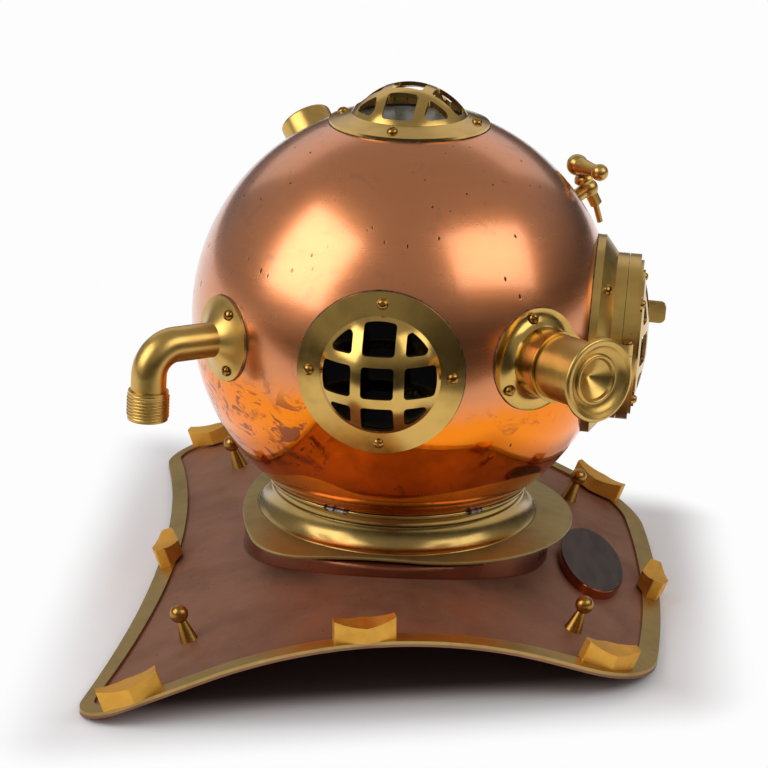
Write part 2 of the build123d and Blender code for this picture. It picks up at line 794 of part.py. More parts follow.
door_screws = screw_places(door_screw_count, door_ear_place, guard_flange_top, 0, ear_angle)
door_drillings = screw_drillings(door_screws, small_screw_share)
face_door -= door_drillings
door_ring -= door_drillings
door_guard -= door_drillings

# Thumb screw, captive in the door
shank_end = face_seat - latch_lug_wall
collar_foot = door_front + gap
blade_foot = collar_foot + latch_collar_wall
thumb_screw = rod(latch_shank_radius, shank_end, blade_foot)
thumb_screw += turned((0, collar_foot), (latch_collar_radius, collar_foot),
                      (latch_collar_radius, collar_foot + latch_collar_wall / 2),
                      (latch_blade_wall / 2, blade_foot + latch_collar_wall / 2), (0, blade_foot))
blade = Box(latch_blade_wall, latch_blade_width, latch_blade_length,
            align=(Align.CENTER, Align.CENTER, Align.MIN))
blade = fillet(blade.edges().filter_by(Axis.X).sort_by(Axis.Z)[-2:], latch_blade_round)
thumb_screw += Pos(0, 0, blade_foot - latch_collar_wall / 4) * blade
thumb_screw = Pos(latch_x, 0, 0) * thumb_screw

face_pieces = {
    "face_port_frame": [face_frame],
    "face_port_screws": screw_ring(face_screws),
    "face_port_seal": [face_seal],
    "face_hinge_pin": [hinge_pin],
    "face_door": [face_door],
    "face_door_gasket": [door_gasket],
    "face_door_glass": [door_glass],
    "face_door_ring": [door_ring],
    "face_door_guard": [door_guard],
    "face_door_screws": screw_ring(door_screws, small_screw_share),
    "face_thumb_screw": [thumb_screw],
}
for name, solids in face_pieces.items():
    pieces[name] = [face * solid for solid in solids]
bonnet_shell -= face * rod(face_skirt_radius, face_skirt_end, face_seat)
bonnet_shell -= [face * hole for hole in screw_drillings(face_screws)]

# Exhaust valve
exhaust = outward(exhaust_azimuth, exhaust_latitude)
exhaust_flange_foot = ball_height(exhaust_flange_radius)
exhaust_tail_foot = ball_height(exhaust_tail_radius)
exhaust_middle = (exhaust_flange_radius + exhaust_tail_radius) / 2
exhaust_flange_top = exhaust_flange_foot + exhaust_flange_rim
exhaust_sweep_top = ball_height(exhaust_body_radius) + exhaust_flange_rim + exhaust_flange_sweep / 2
exhaust_screw_height = ball_height(exhaust_screw_radius) + exhaust_flange_rim * 0.9
exhaust_screws = screw_places(exhaust_screw_count, exhaust_screw_radius, exhaust_screw_height,
                              math.degrees(math.asin(exhaust_screw_radius / bonnet_radius)),
                              exhaust_screw_start)
exhaust_body = turned(
    (exhaust_flange_radius, exhaust_flange_foot), (exhaust_flange_radius, exhaust_flange_top),
    (exhaust_screw_radius - 2 * screw_slot_width, exhaust_screw_height + screw_slot_width / 2,
     exhaust_body_radius, exhaust_sweep_top),
    (exhaust_body_radius, exhaust_body_end - 2 * exhaust_lip_width),
    (exhaust_lip_radius, exhaust_body_end - exhaust_lip_width), (exhaust_lip_radius, exhaust_body_end),
    (exhaust_spigot_radius, exhaust_body_end), (exhaust_spigot_radius, exhaust_spigot_end),
    (exhaust_chamber_radius, exhaust_spigot_end), (exhaust_chamber_radius, exhaust_seat_height),
    (exhaust_seat_radius, exhaust_seat_height), (exhaust_seat_radius, exhaust_tail_end),
    (exhaust_tail_radius, exhaust_tail_end), (exhaust_tail_radius, exhaust_tail_foot),
    (exhaust_middle, ball_height(exhaust_middle), exhaust_flange_radius, exhaust_flange_foot))
exhaust_body -= screw_drillings(exhaust_screws)
exhaust_body -= spot_faces(exhaust_screws)

cap_foot = exhaust_body_end + gap
cup_floor = exhaust_rim_height - exhaust_dish_depth - exhaust_cup_depth
dish_floor = exhaust_rim_height - exhaust_dish_depth
rim_foot = exhaust_rim_height - exhaust_rim_wall
guide_foot = exhaust_cap_chamber_end - exhaust_cap_spring_guide
flare_middle_radius = exhaust_cap_radius + (exhaust_rim_radius - exhaust_cap_radius) * 0.3
flare_middle = exhaust_flare_start + (rim_foot - exhaust_flare_start) * 0.72
exhaust_cap = turned(
    (exhaust_cap_radius, cap_foot), (exhaust_cap_radius, exhaust_flare_start),
    (flare_middle_radius, flare_middle, exhaust_rim_radius, rim_foot),
    (exhaust_rim_radius, rim_foot + exhaust_rim_wall * 0.4),
    (exhaust_rim_radius - exhaust_rim_wall * 0.3, exhaust_rim_height - exhaust_rim_wall * 0.15,
     exhaust_rim_radius - exhaust_rim_wall, exhaust_rim_height),
    (exhaust_dish_radius, exhaust_rim_height - exhaust_rim_wall * 0.4),
    (exhaust_dish_floor_radius + (exhaust_dish_radius - exhaust_dish_floor_radius) * 0.35,
     dish_floor + exhaust_dish_depth * 0.12, exhaust_dish_floor_radius, dish_floor),
    (exhaust_cup_radius + exhaust_cup_lip / 2, dish_floor + exhaust_cup_lip * 0.7,
     exhaust_cup_radius, dish_floor + exhaust_cup_lip * 0.4),
    (exhaust_cup_radius - exhaust_cup_lip / 2, dish_floor - exhaust_cup_lip / 2),
    (0, cup_floor), (0, guide_foot),
    (exhaust_cap_boss_radius, guide_foot), (exhaust_cap_boss_radius, exhaust_cap_chamber_end),
    (exhaust_cap_inner_radius, exhaust_cap_chamber_end), (exhaust_cap_inner_radius, cap_foot))

disc_foot = exhaust_seat_height + gap
disc_top = disc_foot + exhaust_disc_wall
exhaust_valve = rod(exhaust_disc_radius, disc_foot, disc_top)
exhaust_valve += rod(exhaust_stem_radius, chin_button_place, exhaust_stem_top)
exhaust_valve += rod(chin_button_radius, chin_button_place - chin_button_wall, chin_button_place)
exhaust_valve = fillet(exhaust_valve.edges().filter_by(GeomType.CIRCLE).sort_by(Axis.Z)[0],
                       chin_button_wall / 3)

spring_foot = disc_top + spring_wire_radius + gap / 2
spring_top = exhaust_cap_chamber_end - spring_wire_radius - gap / 2
spring_path = Pos(0, 0, spring_foot) * Helix(pitch=(spring_top - spring_foot) / spring_turns,
                                             height=spring_top - spring_foot, radius=spring_radius)
spring_start = Plane(origin=spring_path @ 0, z_dir=spring_path % 0)
exhaust_spring = sweep(spring_start * RegularPolygon(spring_wire_radius, 6), path=spring_path, is_frenet=True)

exhaust_pieces = {
    "exhaust_valve_body": [exhaust_body],
    "exhaust_valve_screws": screw_ring(exhaust_screws),
    "exhaust_valve_cap": [exhaust_cap],
    "exhaust_valve_disc": [exhaust_valve],
    "exhaust_valve_spring": [exhaust_spring],
}
for name, solids in exhaust_pieces.items():
    pieces[name] = [exhaust * solid for solid in solids]
bonnet_shell -= exhaust * rod(exhaust_tail_radius, exhaust_tail_end - overrun, exhaust_seat_height)
bonnet_shell -= [exhaust * hole for hole in screw_drillings(exhaust_screws)]

# Air inlet elbow: it leaves the bonnet level and turns straight down
elbow = outward(elbow_azimuth, elbow_latitude)
elbow_flange_foot = ball_height(elbow_flange_radius)
elbow_screw_slope = math.degrees(math.atan2(elbow_flange_top - elbow_flange_foot - elbow_flange_rim,
                                            elbow_flange_radius - elbow_tube_radius))
elbow_screw_height = elbow_flange_foot + elbow_flange_rim + (
    elbow_flange_radius - elbow_screw_radius) * math.tan(math.radians(elbow_screw_slope)) * 0.8
elbow_screws = screw_places(elbow_screw_count, elbow_screw_radius, elbow_screw_height,
                            elbow_screw_slope * 0.8, elbow_screw_start)
down_start = -elbow_bend_radius
down_end = -elbow_drop - elbow_thread_length


def elbow_bar(radius):
    """The elbow's round bar: out along Z, through a quarter bend, then down along -Y."""
    straight = rod(radius, ball_height(elbow_tube_radius, bonnet_inner), elbow_reach - elbow_bend_radius)
    section = Pos(0, 0, elbow_reach - elbow_bend_radius) * Circle(radius)
    bend_axis = Axis((0, -elbow_bend_radius, elbow_reach - elbow_bend_radius), (1, 0, 0))
    bend = revolve(section, bend_axis, 90)
    drop = Pos(0, 0, elbow_reach) * Rot(90, 0, 0) * rod(radius, elbow_bend_radius, -down_end)
    return straight + bend + drop


flange_curve = (elbow_flange_radius + elbow_tube_radius) / 2
flange_curve_height = (elbow_flange_foot + elbow_flange_rim + elbow_flange_top) / 2
elbow_flange = turned(
    (elbow_flange_radius, elbow_flange_foot), (elbow_flange_radius, elbow_flange_foot + elbow_flange_rim),
    (flange_curve, flange_curve_height - elbow_flange_rim / 2, elbow_tube_radius, elbow_flange_top),
    (0, elbow_flange_top), (0, bonnet_radius),
    (flange_curve, ball_height(flange_curve), elbow_flange_radius, elbow_flange_foot))
elbow_end = Pos(0, 0, elbow_reach) * Rot(90, 0, 0) * rod(elbow_thread_radius, elbow_drop, -down_end)
air_elbow = elbow_bar(elbow_tube_radius) + elbow_flange + elbow_end
air_elbow -= elbow_bar(elbow_bore_radius)
air_elbow -= screw_drillings(elbow_screws)
air_elbow -= rod(elbow_bore_radius, 0, bonnet_radius)
air_elbow -= Pos(0, 0, elbow_reach) * Rot(90, 0, 0) * rod(elbow_bore_radius, elbow_drop, overrun - down_end)
pieces["air_elbow"] = [elbow * air_elbow]
pieces["air_elbow_screws"] = [elbow * screw for screw in screw_ring(elbow_screws)]
bonnet_shell -= elbow * rod(elbow_tube_radius, bonnet_inner - overrun, bonnet_radius + overrun)
bonnet_shell -= [elbow * hole for hole in screw_drillings(elbow_screws)]

# Cable inlet
inlet = outward(inlet_azimuth, inlet_latitude)
inlet_foot = ball_height(inlet_radius, bonnet_inner)
cable_inlet = tube(inlet_radius, inlet_bore_radius, inlet_foot, inlet_top)
cable_inlet -= rod(inlet_root_bore_radius, 0, bonnet_radius + inlet_root_rise)
cable_inlet = fillet(cable_inlet.edges().filter_by(GeomType.CIRCLE).group_by(Axis.Z)[-1], inlet_edge_round)
pieces["cable_inlet"] = [inlet * cable_inlet]
bonnet_shell -= inlet * rod(inlet_radius, inlet_foot - overrun, inlet_top)

# Spitcock: a ball-shaped cock on a short stub, with its spout below and its lever above
cock = outward(spitcock_azimuth, spitcock_latitude)
upwards = Pos(0, 0, spitcock_place) * Rot(-90, 0, 0)
foot_height = ball_height(spitcock_foot_radius)
cock_body = rod(spitcock_stub_radius, bonnet_inner - gap, spitcock_place)
cock_body += turned((0, foot_height), (spitcock_foot_radius, foot_height),
                    (spitcock_foot_radius, foot_height + spitcock_foot_wall / 2),
                    (spitcock_stub_radius, foot_height + 2 * spitcock_foot_wall),
                    (0, foot_height + 2 * spitcock_foot_wall))
cock_body -= Sphere(bonnet_radius) - rod(spitcock_stub_radius, 0, bonnet_height)
cock_body += Pos(0, 0, spitcock_place) * Sphere(spitcock_ball_radius)
block_end = spitcock_ball_radius * 0.7 + spitcock_block_length
cock_body += upwards * rod(spitcock_block_radius, -block_end, 0)
spout = Rot(-spitcock_spout_lean, 0, 0) * rod(spitcock_spout_radius, -spitcock_spout_length, spitcock_block_radius)
spout_bore = Rot(-spitcock_spout_lean, 0, 0) * rod(
    spitcock_spout_bore, -spitcock_spout_length - overrun, spitcock_block_radius)
cock_body += upwards * Pos(0, 0, -block_end + spitcock_block_radius / 2) * spout
cock_body -= upwards * Pos(0, 0, -block_end + spitcock_block_radius / 2) * spout_bore
nut_foot = spitcock_ball_radius * 0.9
nut_top = nut_foot + spitcock_nut_height
cock_body += upwards * rod(spitcock_stub_radius, 0, nut_foot)
cock_body -= upwards * rod(spitcock_nut_radius, nut_foot, nut_top)
cock_body -= upwards * rod(spitcock_bore_radius + gap, -block_end + spitcock_block_radius, nut_top)
cock_body -= rod(spitcock_bore_radius - gap, bonnet_inner - overrun, spitcock_place)
cock_nut = turned(
    (spitcock_bore_radius + gap, nut_foot), (spitcock_nut_foot, nut_foot),
    (spitcock_nut_radius, nut_foot + spitcock_nut_height * 0.35),
    (spitcock_nut_radius * 0.8, nut_foot + spitcock_nut_height * 0.8, spitcock_stub_radius * 0.8, nut_top),
    (spitcock_bore_radius + gap, nut_top))
plug_foot = -block_end + 2 * spitcock_block_radius
lever_root = spitcock_hub_radius * 0.7
lever = turned((0, lever_root), (spitcock_lever_root_radius, lever_root),
               (spitcock_lever_root_radius * 0.85, lever_root + spitcock_lever_root_radius),
               (spitcock_lever_waist_radius, spitcock_lever_length), (0, spitcock_lever_length))
lever += Pos(0, 0, spitcock_lever_length) * Sphere(spitcock_lever_end_radius)
cock_handle = rod(spitcock_bore_radius, plug_foot, spitcock_hub_place)
cock_handle += Pos(0, 0, spitcock_hub_place) * Sphere(spitcock_hub_radius)
cock_handle += Pos(0, 0, spitcock_hub_place) * Rot(0, 0, spitcock_lever_lean) * Rot(0, -90, 0) * lever
pieces["spitcock_body"] = [cock * cock_body]
pieces["spitcock_packing_nut"] = [cock * (upwards * cock_nut)]
pieces["spitcock_handle"] = [cock * (upwards * cock_handle)]
bonnet_shell -= cock * rod(spitcock_stub_radius, bonnet_inner - overrun, bonnet_height)
pieces["bonnet_shell"] = [bonnet_shell]


def solids_of(shape):
    found = shape.solids() if hasattr(shape, "solids") else []
    return list(found)


# The origin lies under the middle of the whole helmet, on the surface below it
every_solid = [solid for shapes in pieces.values() for shape in shapes for solid in solids_of(shape)]
box = Compound(children=every_solid).bounding_box()
shift = Vector(-(box.min.X + box.max.X) / 2, -(box.min.Y + box.max.Y) / 2, -box.min.Z)

os.makedirs("parts", exist_ok=True)
for name, shapes in pieces.items():
    solids = [solid.moved(Location(shift)) for shape in shapes for solid in solids_of(shape)]
    whole = solids[0] if len(solids) == 1 else Compound(children=solids)
    export_step(whole, "parts/" + name + ".step")


def tell(label, plane, x, y, z):
    """Prints a place and the plane's outward direction in the finished frame."""
    point = plane.from_local_coords((x, y, z)) + shift
    print(label, [round(v, 3) for v in point], "out", [round(v, 5) for v in plane.z_dir],
          "up", [round(v, 5) for v in plane.y_dir])


print("shift", [round(v, 3) for v in shift], "size", [round(v, 2) for v in box.size])
tell("bonnet centre", face, 0, 0, 0)
tell("face hinge", face, hinge_x, 0, hinge_height)
tell("thumb screw", face, latch_x, 0, face_seat)
tell("face seat", face, 0, 0, face_seat)
tell("exhaust cap", exhaust, 0, 0, exhaust_rim_height)
tell("elbow end", elbow, 0, down_end, elbow_reach)
tell("inlet mouth", inlet, 0, 0, inlet_top)
tell("spitcock", cock, 0, 0, spitcock_place)
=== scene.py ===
"""Dresses a copper diving helmet with brass fittings: finishes, solder, threads, studio."""
import math

import bpy
import numpy as np
from bpy.props import FloatProperty, FloatVectorProperty, IntProperty, PointerProperty
from mathutils import Matrix


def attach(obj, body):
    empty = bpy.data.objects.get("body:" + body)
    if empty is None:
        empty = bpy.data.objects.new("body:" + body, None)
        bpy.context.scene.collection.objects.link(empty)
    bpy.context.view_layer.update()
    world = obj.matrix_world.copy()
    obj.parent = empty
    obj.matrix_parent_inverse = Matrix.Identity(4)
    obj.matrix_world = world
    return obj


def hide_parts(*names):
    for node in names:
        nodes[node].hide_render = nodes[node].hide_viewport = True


bl_info = {
    "name": "Copper diving helmet dressing",
    "version": (1, 0, 0),
    "blender": (4, 5, 0),
    "location": "3D View > Sidebar > Diving Helmet",
    "description": "Finishes, solder, threads and studio for a copper diving helmet",
    "category": "Object",
}

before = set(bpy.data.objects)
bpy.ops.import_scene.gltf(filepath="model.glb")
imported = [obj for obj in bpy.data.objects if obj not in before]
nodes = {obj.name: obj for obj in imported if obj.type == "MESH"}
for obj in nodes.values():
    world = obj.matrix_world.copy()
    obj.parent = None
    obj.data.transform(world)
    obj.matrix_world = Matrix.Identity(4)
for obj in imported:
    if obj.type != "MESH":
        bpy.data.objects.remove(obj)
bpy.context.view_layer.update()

# Lengths are written in millimetres and turned into metres by this factor.
MM = 0.001

# The bonnet is a ball, and every fitting on it points straight away from its centre.
BALL_CENTRE = np.array([0.0, 1.851, 211.254]) * MM
BALL_RADIUS = 152.0 * MM
BALL_WALL = 2.0 * MM
BONNET_REST_TURN = -3.5

# The neck's axis at the level of the corselet's highest line, and its riser of bent-up copper
NECK_FOOT = BALL_CENTRE - np.array([0.0, 0.0, 204.0]) * MM
RISER_RADIUS = 112.0 * MM

# name: azimuth from the face towards the diver's left, latitude, radius of the foot in mm
FITTINGS = {
    "right_window": (-90.0, 1.0, 56.7),
    "left_window": (90.0, 1.0, 56.7),
    "top_window": (0.0, 90.0, 56.7),
    "face_port": (0.0, -2.0, 71.0),
    "exhaust_valve": (-47.0, 3.0, 35.5),
    "air_elbow": (-140.0, 2.0, 29.9),
    "cable_inlet": (133.5, 43.5, 19.3),
    "spitcock": (30.5, 29.5, 9.0),
}


def linear(hex_colour):
    """An sRGB hex colour as linear red, green and blue."""
    values = []
    for place in (0, 2, 4):
        value = int(hex_colour[place:place + 2], 16) / 255
        values.append(value / 12.92 if value <= 0.04045 else ((value + 0.055) / 1.055) ** 2.4)
    return tuple(values)


# Settings that a user would change

def colour_setting(name, hex_colour, description):
    return FloatVectorProperty(name=name, description=description, subtype="COLOR", size=3,
                               min=0.0, max=1.0, default=linear(hex_colour))


def length_setting(name, default, smallest, largest, description):
    return FloatProperty(name=name, description=description, default=default, min=smallest, max=largest,
                         subtype="DISTANCE", unit="LENGTH")


def brightness_setting(name, default):
    return FloatProperty(name=name, description="Brightness, where 1 is white", default=default, min=0.0)


class HelmetMetals(bpy.types.PropertyGroup):
    polished_copper: colour_setting("Polished copper", "F6871C", "Lower half of the bonnet, rubbed bright")
    tarnished_copper: colour_setting("Tarnished copper", "DD8A55", "Crown of the bonnet under thin tarnish")
    corselet_copper: colour_setting("Corselet copper", "A0725A", "Browned sheet of the corselet")
    satin_brass: colour_setting("Satin brass", "CFA85C", "Turned and sanded fittings")
    band_brass: colour_setting("Band brass", "B6985A", "Dull edge band")
    lug_brass: colour_setting("Lug brass", "EAB04C", "Sand-cast lugs with filed faces")
    collar_brass: colour_setting("Collar brass", "A98C52", "Olive lacquered brass of the neck collar")
    saucer_brass: colour_setting("Saucer brass", "A99561", "Duller flat flange of the neck collar")
    stud_brass: colour_setting("Stud brass", "A87C3A", "Brown brass of the studs and screws")
    boss_top: colour_setting("Boss face", "5A463C", "Rubbed face of the oval boss")
    old_solder: colour_setting("Old solder", "5E564C", "Tarnished fillets round the fittings")
    fresh_solder: colour_setting("Fresh solder", "A8A19C", "Lumps on the neck collar's lip")


class HelmetTrim(bpy.types.PropertyGroup):
    bead_width: length_setting("Solder bead", 0.5 * MM, 0.2 * MM, 4.0 * MM, "Width of the solder fillets")
    thread_pitch: length_setting("Thread pitch", 2.3 * MM, 1.0 * MM, 4.0 * MM, "From one ridge to the next")
    thread_depth: length_setting("Thread depth", 0.8 * MM, 0.2 * MM, 2.0 * MM, "Height of the ridges")
    ring_steps: IntProperty(name="Ring steps", description="Points round a solder ring", default=192, min=24)


class HelmetStudio(bpy.types.PropertyGroup):
    floor_half: length_setting("Floor half width", 9.0, 1.0, 20.0, "From the middle to an edge")
    left_brightness: brightness_setting("Left softbox", 3.0)
    right_brightness: brightness_setting("Right softbox", 2.0)
    back_brightness: brightness_setting("Back softbox", 0.45)
    light_distance: length_setting("Softbox distance", 2.6, 0.5, 20.0, "From the bonnet's centre")
    lens: FloatProperty(name="Lens", description="Focal length on a 36 mm sensor", default=128.0, min=10.0,
                        subtype="DISTANCE_CAMERA")


# Meshes from grids of points

def fitting_axes(azimuth, latitude):
    """Rows are a fitting's own X (sideways), Y (up) and Z (out of the ball)."""
    turn = math.radians(azimuth + BONNET_REST_TURN)
    rise = math.radians(latitude)
    out = np.array([math.sin(turn) * math.cos(rise), -math.cos(turn) * math.cos(rise), math.sin(rise)])
    aside = np.array([math.cos(turn), math.sin(turn), 0.0])
    return np.stack([aside, np.cross(out, aside), out])


def placed(points, axes, origin=BALL_CENTRE):
    """Points in a fitting's own axes, carried to where the fitting is."""
    return points @ axes + origin


def grid_faces(rows, columns, rows_close, columns_close):
    """Four-sided faces between neighbours on a grid; a closing side joins its last to its first."""
    index = np.arange(rows * columns).reshape(rows, columns)
    down = np.roll(index, -1, axis=0)
    right = np.roll(index, -1, axis=1)
    across = np.roll(down, -1, axis=1)
    last_row = rows if rows_close else rows - 1
    last_column = columns if columns_close else columns - 1
    corners = np.stack([index, down, across, right], axis=-1)[:last_row, :last_column]
    return corners.reshape(-1, 4)


def mesh_object(name, grid, closing, material):
    """One smooth object from a grid of points, with which of the grid's two sides close."""
    mesh = bpy.data.meshes.new(name)
    mesh.from_pydata(grid.reshape(-1, 3).tolist(), [], grid_faces(*grid.shape[:2], *closing).tolist())
    mesh.polygons.foreach_set("use_smooth", np.ones(len(mesh.polygons), dtype=bool))
    mesh.materials.append(material)
    mesh.update()
    made = bpy.data.objects.new(name, mesh)
    bpy.context.scene.collection.objects.link(made)
    return made


def make_piece(name, grid, closing, material, body):
    """A piece of the helmet from a grid of points, which moves with a body of the frame."""
    piece = mesh_object(name, grid, closing, material)
    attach(piece, body)
    return piece


def uneven(angle, seed):
    """A closed wobble round a ring, between about -1 and 1: a sum of a few waves."""
    chance = np.random.default_rng(seed)
    total = np.zeros_like(angle)
    for waves in (3, 5, 9, 14, 23):
        total += np.sin(waves * angle + chance.uniform(0, 2 * math.pi)) * chance.uniform(0.15, 0.35)
    return total


# How far inside the metal a solder fillet closes, inwards and downwards
BEAD_ROOT = -0.4 * MM, -0.6 * MM


def ring_bead(radius, height, inner, outer, steps, seed):
    """A fillet round a foot: a hollow corner profile carried round a circle.

    The profile starts on the ball, curves in and climbs the foot's side, then closes
    through the metal. inner and outer are its corner points beyond (radius, height), and
    it swells and shrinks unevenly on its way round.
    """
    angle = np.linspace(0, 2 * math.pi, steps, endpoint=False)[:, None]
    swell = 1 + 0.3 * uneven(angle, seed)
    curve = np.linspace(0, 1, 7)
    hollow = 0.225 * np.sin(math.pi * curve)
    across = outer[0] * (1 - curve) + inner[0] * curve - hollow * (outer[0] - inner[0])
    along = outer[1] * (1 - curve) + inner[1] * curve - hollow * (inner[1] - outer[1])
    reach = radius + np.append(across, BEAD_ROOT[0]) * swell
    level = height + np.append(along, BEAD_ROOT[1]) * swell
    return np.stack([reach * np.cos(angle), reach * np.sin(angle), level], axis=-1)


def arc_points(first, middle, last, steps):
    """Points on the circle through three points, from the first past the middle to the last.

    The centre is where the two chords' perpendicular bisectors cross.
    """
    (ax, ay), (bx, by), (cx, cy) = first, middle, last
    twice = 2 * (ax * (by - cy) + bx * (cy - ay) + cx * (ay - by))
    a, b, c = ax * ax + ay * ay, bx * bx + by * by, cx * cx + cy * cy
    x = (a * (by - cy) + b * (cy - ay) + c * (ay - by)) / twice
    y = (a * (cx - bx) + b * (ax - cx) + c * (bx - ax)) / twice
    start, end = math.atan2(ay - y, ax - x), math.atan2(cy - y, cx - x)
    turn = (end - start) % (2 * math.pi)
    angle = start + turn * np.linspace(0, 1, steps)
    radius = math.hypot(ax - x, ay - y)
    return np.stack([x + radius * np.cos(angle), y + radius * np.sin(angle)], axis=-1)


# The saucer's outline in mm, seen from above: a wide round front and rounded back corners,
# with straight sides between. Each arc has its first, middle and last point and its steps.
SAUCER_ARCS = (
    ((-109.0, -20.0), (0.0, -129.0), (109.0, -20.0), 65),
    ((105.0, 57.0), (94.7, 85.1), (70.0, 102.0), 17),
    ((70.0, 102.0), (0.0, 113.0), (-70.0, 102.0), 33),
    ((-70.0, 102.0), (-94.7, 85.1), (-105.0, 57.0), 17))


def collar_reach(angle):
    """How far the collar's shield-shaped flange reaches in each direction, in mm.

    Eight steps lead from each point of the outline to the next, and the reach is read off
    between those whose directions are nearest.
    """
    outline = np.concatenate([arc_points(*arc) for arc in SAUCER_ARCS])
    closed = np.append(outline, outline[:1], axis=0)
    along = np.linspace(0, len(outline), 8 * len(outline), endpoint=False)
    x, y = (np.interp(along, np.arange(len(closed)), values) for values in closed.T)
    return np.interp(angle, np.arctan2(y, x), np.hypot(x, y), period=2 * math.pi)


# The lumps of solder on the collar's lip: the direction of each one's middle and half its
# length in degrees, then where the lip is and how thick and flat they are, in mm
SOLDER_LUMPS = ((155.5, 6.4), (216.5, 4.8))
LUMP_RADIUS, LUMP_HEIGHT = 96.3, 84.9
LUMP_THICKNESS = 2.1
LUMP_FLATNESS = 0.9
FIRST_LUMP_SEED = 41


def lump_arc(middle, half, seed):
    """A lumpy sausage along the collar's lip, as thick as a half ellipse from end to end."""
    along = np.linspace(-1, 1, 41)[:, None]
    around = np.linspace(0, 2 * math.pi, 14, endpoint=False)
    angle = np.radians(middle + half * along)
    thick = LUMP_THICKNESS * np.sqrt(np.maximum(1 - along ** 2, 0.0))
    thick = thick * (1 + 0.22 * uneven(9 * along, seed) + 0.12 * uneven(around, seed + 1))
    reach = LUMP_RADIUS + thick * np.cos(around)
    level = LUMP_HEIGHT + thick * np.sin(around) * LUMP_FLATNESS
    return np.stack([reach * np.cos(angle), reach * np.sin(angle), level], axis=-1) * MM + NECK_FOOT


# The elbow's mouth hangs this far out from the ball's centre, and each thread has its
# radius, where it starts and its length: down from there, or out from the ball's centre
ELBOW_ARM = 208.0 * MM
ELBOW_THREAD = 13.9 * MM, 32.2 * MM, 17.2 * MM
INLET_THREAD = 14.0 * MM, 154.0 * MM, 16.0 * MM


def helix_ridge(radius, start, length, pitch, depth, inward=False):
    """A screw thread: a rounded three-cornered profile carried along a helix.

    Its height fades to nothing over the first and last half turn.
    """
    turns = length / pitch
    angle = np.linspace(0, 2 * math.pi * turns, int(turns * 72) + 1)[:, None]
    fade = np.minimum(1, np.minimum(angle, angle[-1] - angle) / math.pi)
    spread = np.array([-0.42, -0.3, -0.14, 0.0, 0.14, 0.3, 0.42]) * pitch
    rise = np.array([-0.3, 0.15, 0.85, 1.0, 0.85, 0.15, -0.3]) * depth
    reach = radius + (-rise if inward else rise) * fade
    level = start + pitch * angle / (2 * math.pi) + spread
    return np.stack([reach * np.cos(angle), reach * np.sin(angle), level], axis=-1)


# A dark lip in the packing's finish that closes the face port's gap, as painted shade: its section in mm,
# from the port's axis and from the ball's centre, and its steps round the port
LIP_SECTION = ((52.0, 157.86), (57.6, 157.86), (57.6, 158.1), (52.0, 158.1))
LIP_STEPS = 128

# The way that the oval boss faces, up and a little forwards
BOSS_FACING = (0.0, -0.25, 0.97)

# The collar's section in mm from the neck's axis and its foot: from under the saucer, up
# the bore, over the lip, down the wall and the hollow sweep to the incised line
COLLAR_PROFILE = (
    (96.0, 57.9), (96.0, 54.0), (84.0, 54.0), (84.0, 48.0), (80.0, 48.0), (80.0, 64.0), (88.5, 64.0),
    (88.5, 86.0), (95.3, 86.0), (96.0, 85.8), (96.4, 85.3), (96.5, 84.6), (96.4, 83.7), (96.0, 83.1),
    (95.3, 82.7), (92.2, 82.3), (91.3, 80.5), (91.1, 78.4), (91.4, 76.6), (91.9, 76.1), (92.6, 75.8),
    (92.9, 75.1), (93.0, 73.4), (93.3, 71.4), (93.9, 69.2), (94.8, 67.0), (96.0, 64.9), (97.4, 63.0),
    (98.9, 61.5), (100.4, 60.4), (101.6, 59.7), (102.0, 59.5), (102.5, 58.9), (102.8, 58.9), (103.2, 59.2))

# The saucer leaves the incised line at this radius and height and falls outwards by its
# slope. Its edge is rounded: how far in from the outline, and how far down, in mm.
LINE_RADIUS, SAUCER_TOP = 102.0, 59.4
SAUCER_SLOPE = 4.8 / 29.0
SAUCER_EDGE = ((1.6, -0.2), (0.8, 0.0), (0.25, 0.35), (0.0, 0.9), (0.0, 1.7), (0.3, 2.3), (0.9, 2.5))
COLLAR_STEPS = 288

# Where the collar's section turns by more than this many degrees, its edge stays sharp
COLLAR_CREASE = 32.0


def collar_grid():
    """The collar in mm from the neck's foot: one row of points for each direction.

    A row is the turned section, and then the saucer's edge, which follows the outline.
    """
    angle = np.linspace(0, 2 * math.pi, COLLAR_STEPS, endpoint=False)[:, None]
    reach = collar_reach(angle)
    turned_radius, turned_height = np.array(COLLAR_PROFILE).T
    inwards, downwards = np.array(SAUCER_EDGE).T
    edge_height = SAUCER_TOP - (reach - LINE_RADIUS) * SAUCER_SLOPE
    radius = np.concatenate([turned_radius + 0 * angle, reach - inwards], axis=1)
    height = np.concatenate([turned_height + 0 * angle, edge_height - downwards], axis=1)
    return np.stack([radius * np.cos(angle), radius * np.sin(angle), height], axis=-1)


# Material nodes

SMOOTH = {"interpolation_type": "SMOOTHSTEP"}


def add(tree, kind, inputs=None, **settings):
    """Adds a node, sets its properties, then fills or links its inputs by name or number.

    An input takes a plain value, an output, or a node, of which the first output in use counts.
    """
    node = tree.nodes.new(kind)
    for name, value in settings.items():
        setattr(node, name, value)
    for socket, value in (inputs or {}).items():
        if isinstance(value, bpy.types.Node):
            value = next(output for output in value.outputs if output.enabled)
        if isinstance(value, bpy.types.NodeSocket):
            tree.links.new(value, node.inputs[socket])
        elif node.inputs[socket].type == "RGBA":
            node.inputs[socket].default_value = (*value, 1.0)
        else:
            node.inputs[socket].default_value = value
    return node


def new_material(name):
    """An empty node material, its tree, and its Object coordinates."""
    material = bpy.data.materials.new(name)
    material.use_nodes = True
    tree = material.node_tree
    tree.nodes.clear()
    coordinates = add(tree, "ShaderNodeTexCoord").outputs["Object"]
    return material, tree, coordinates


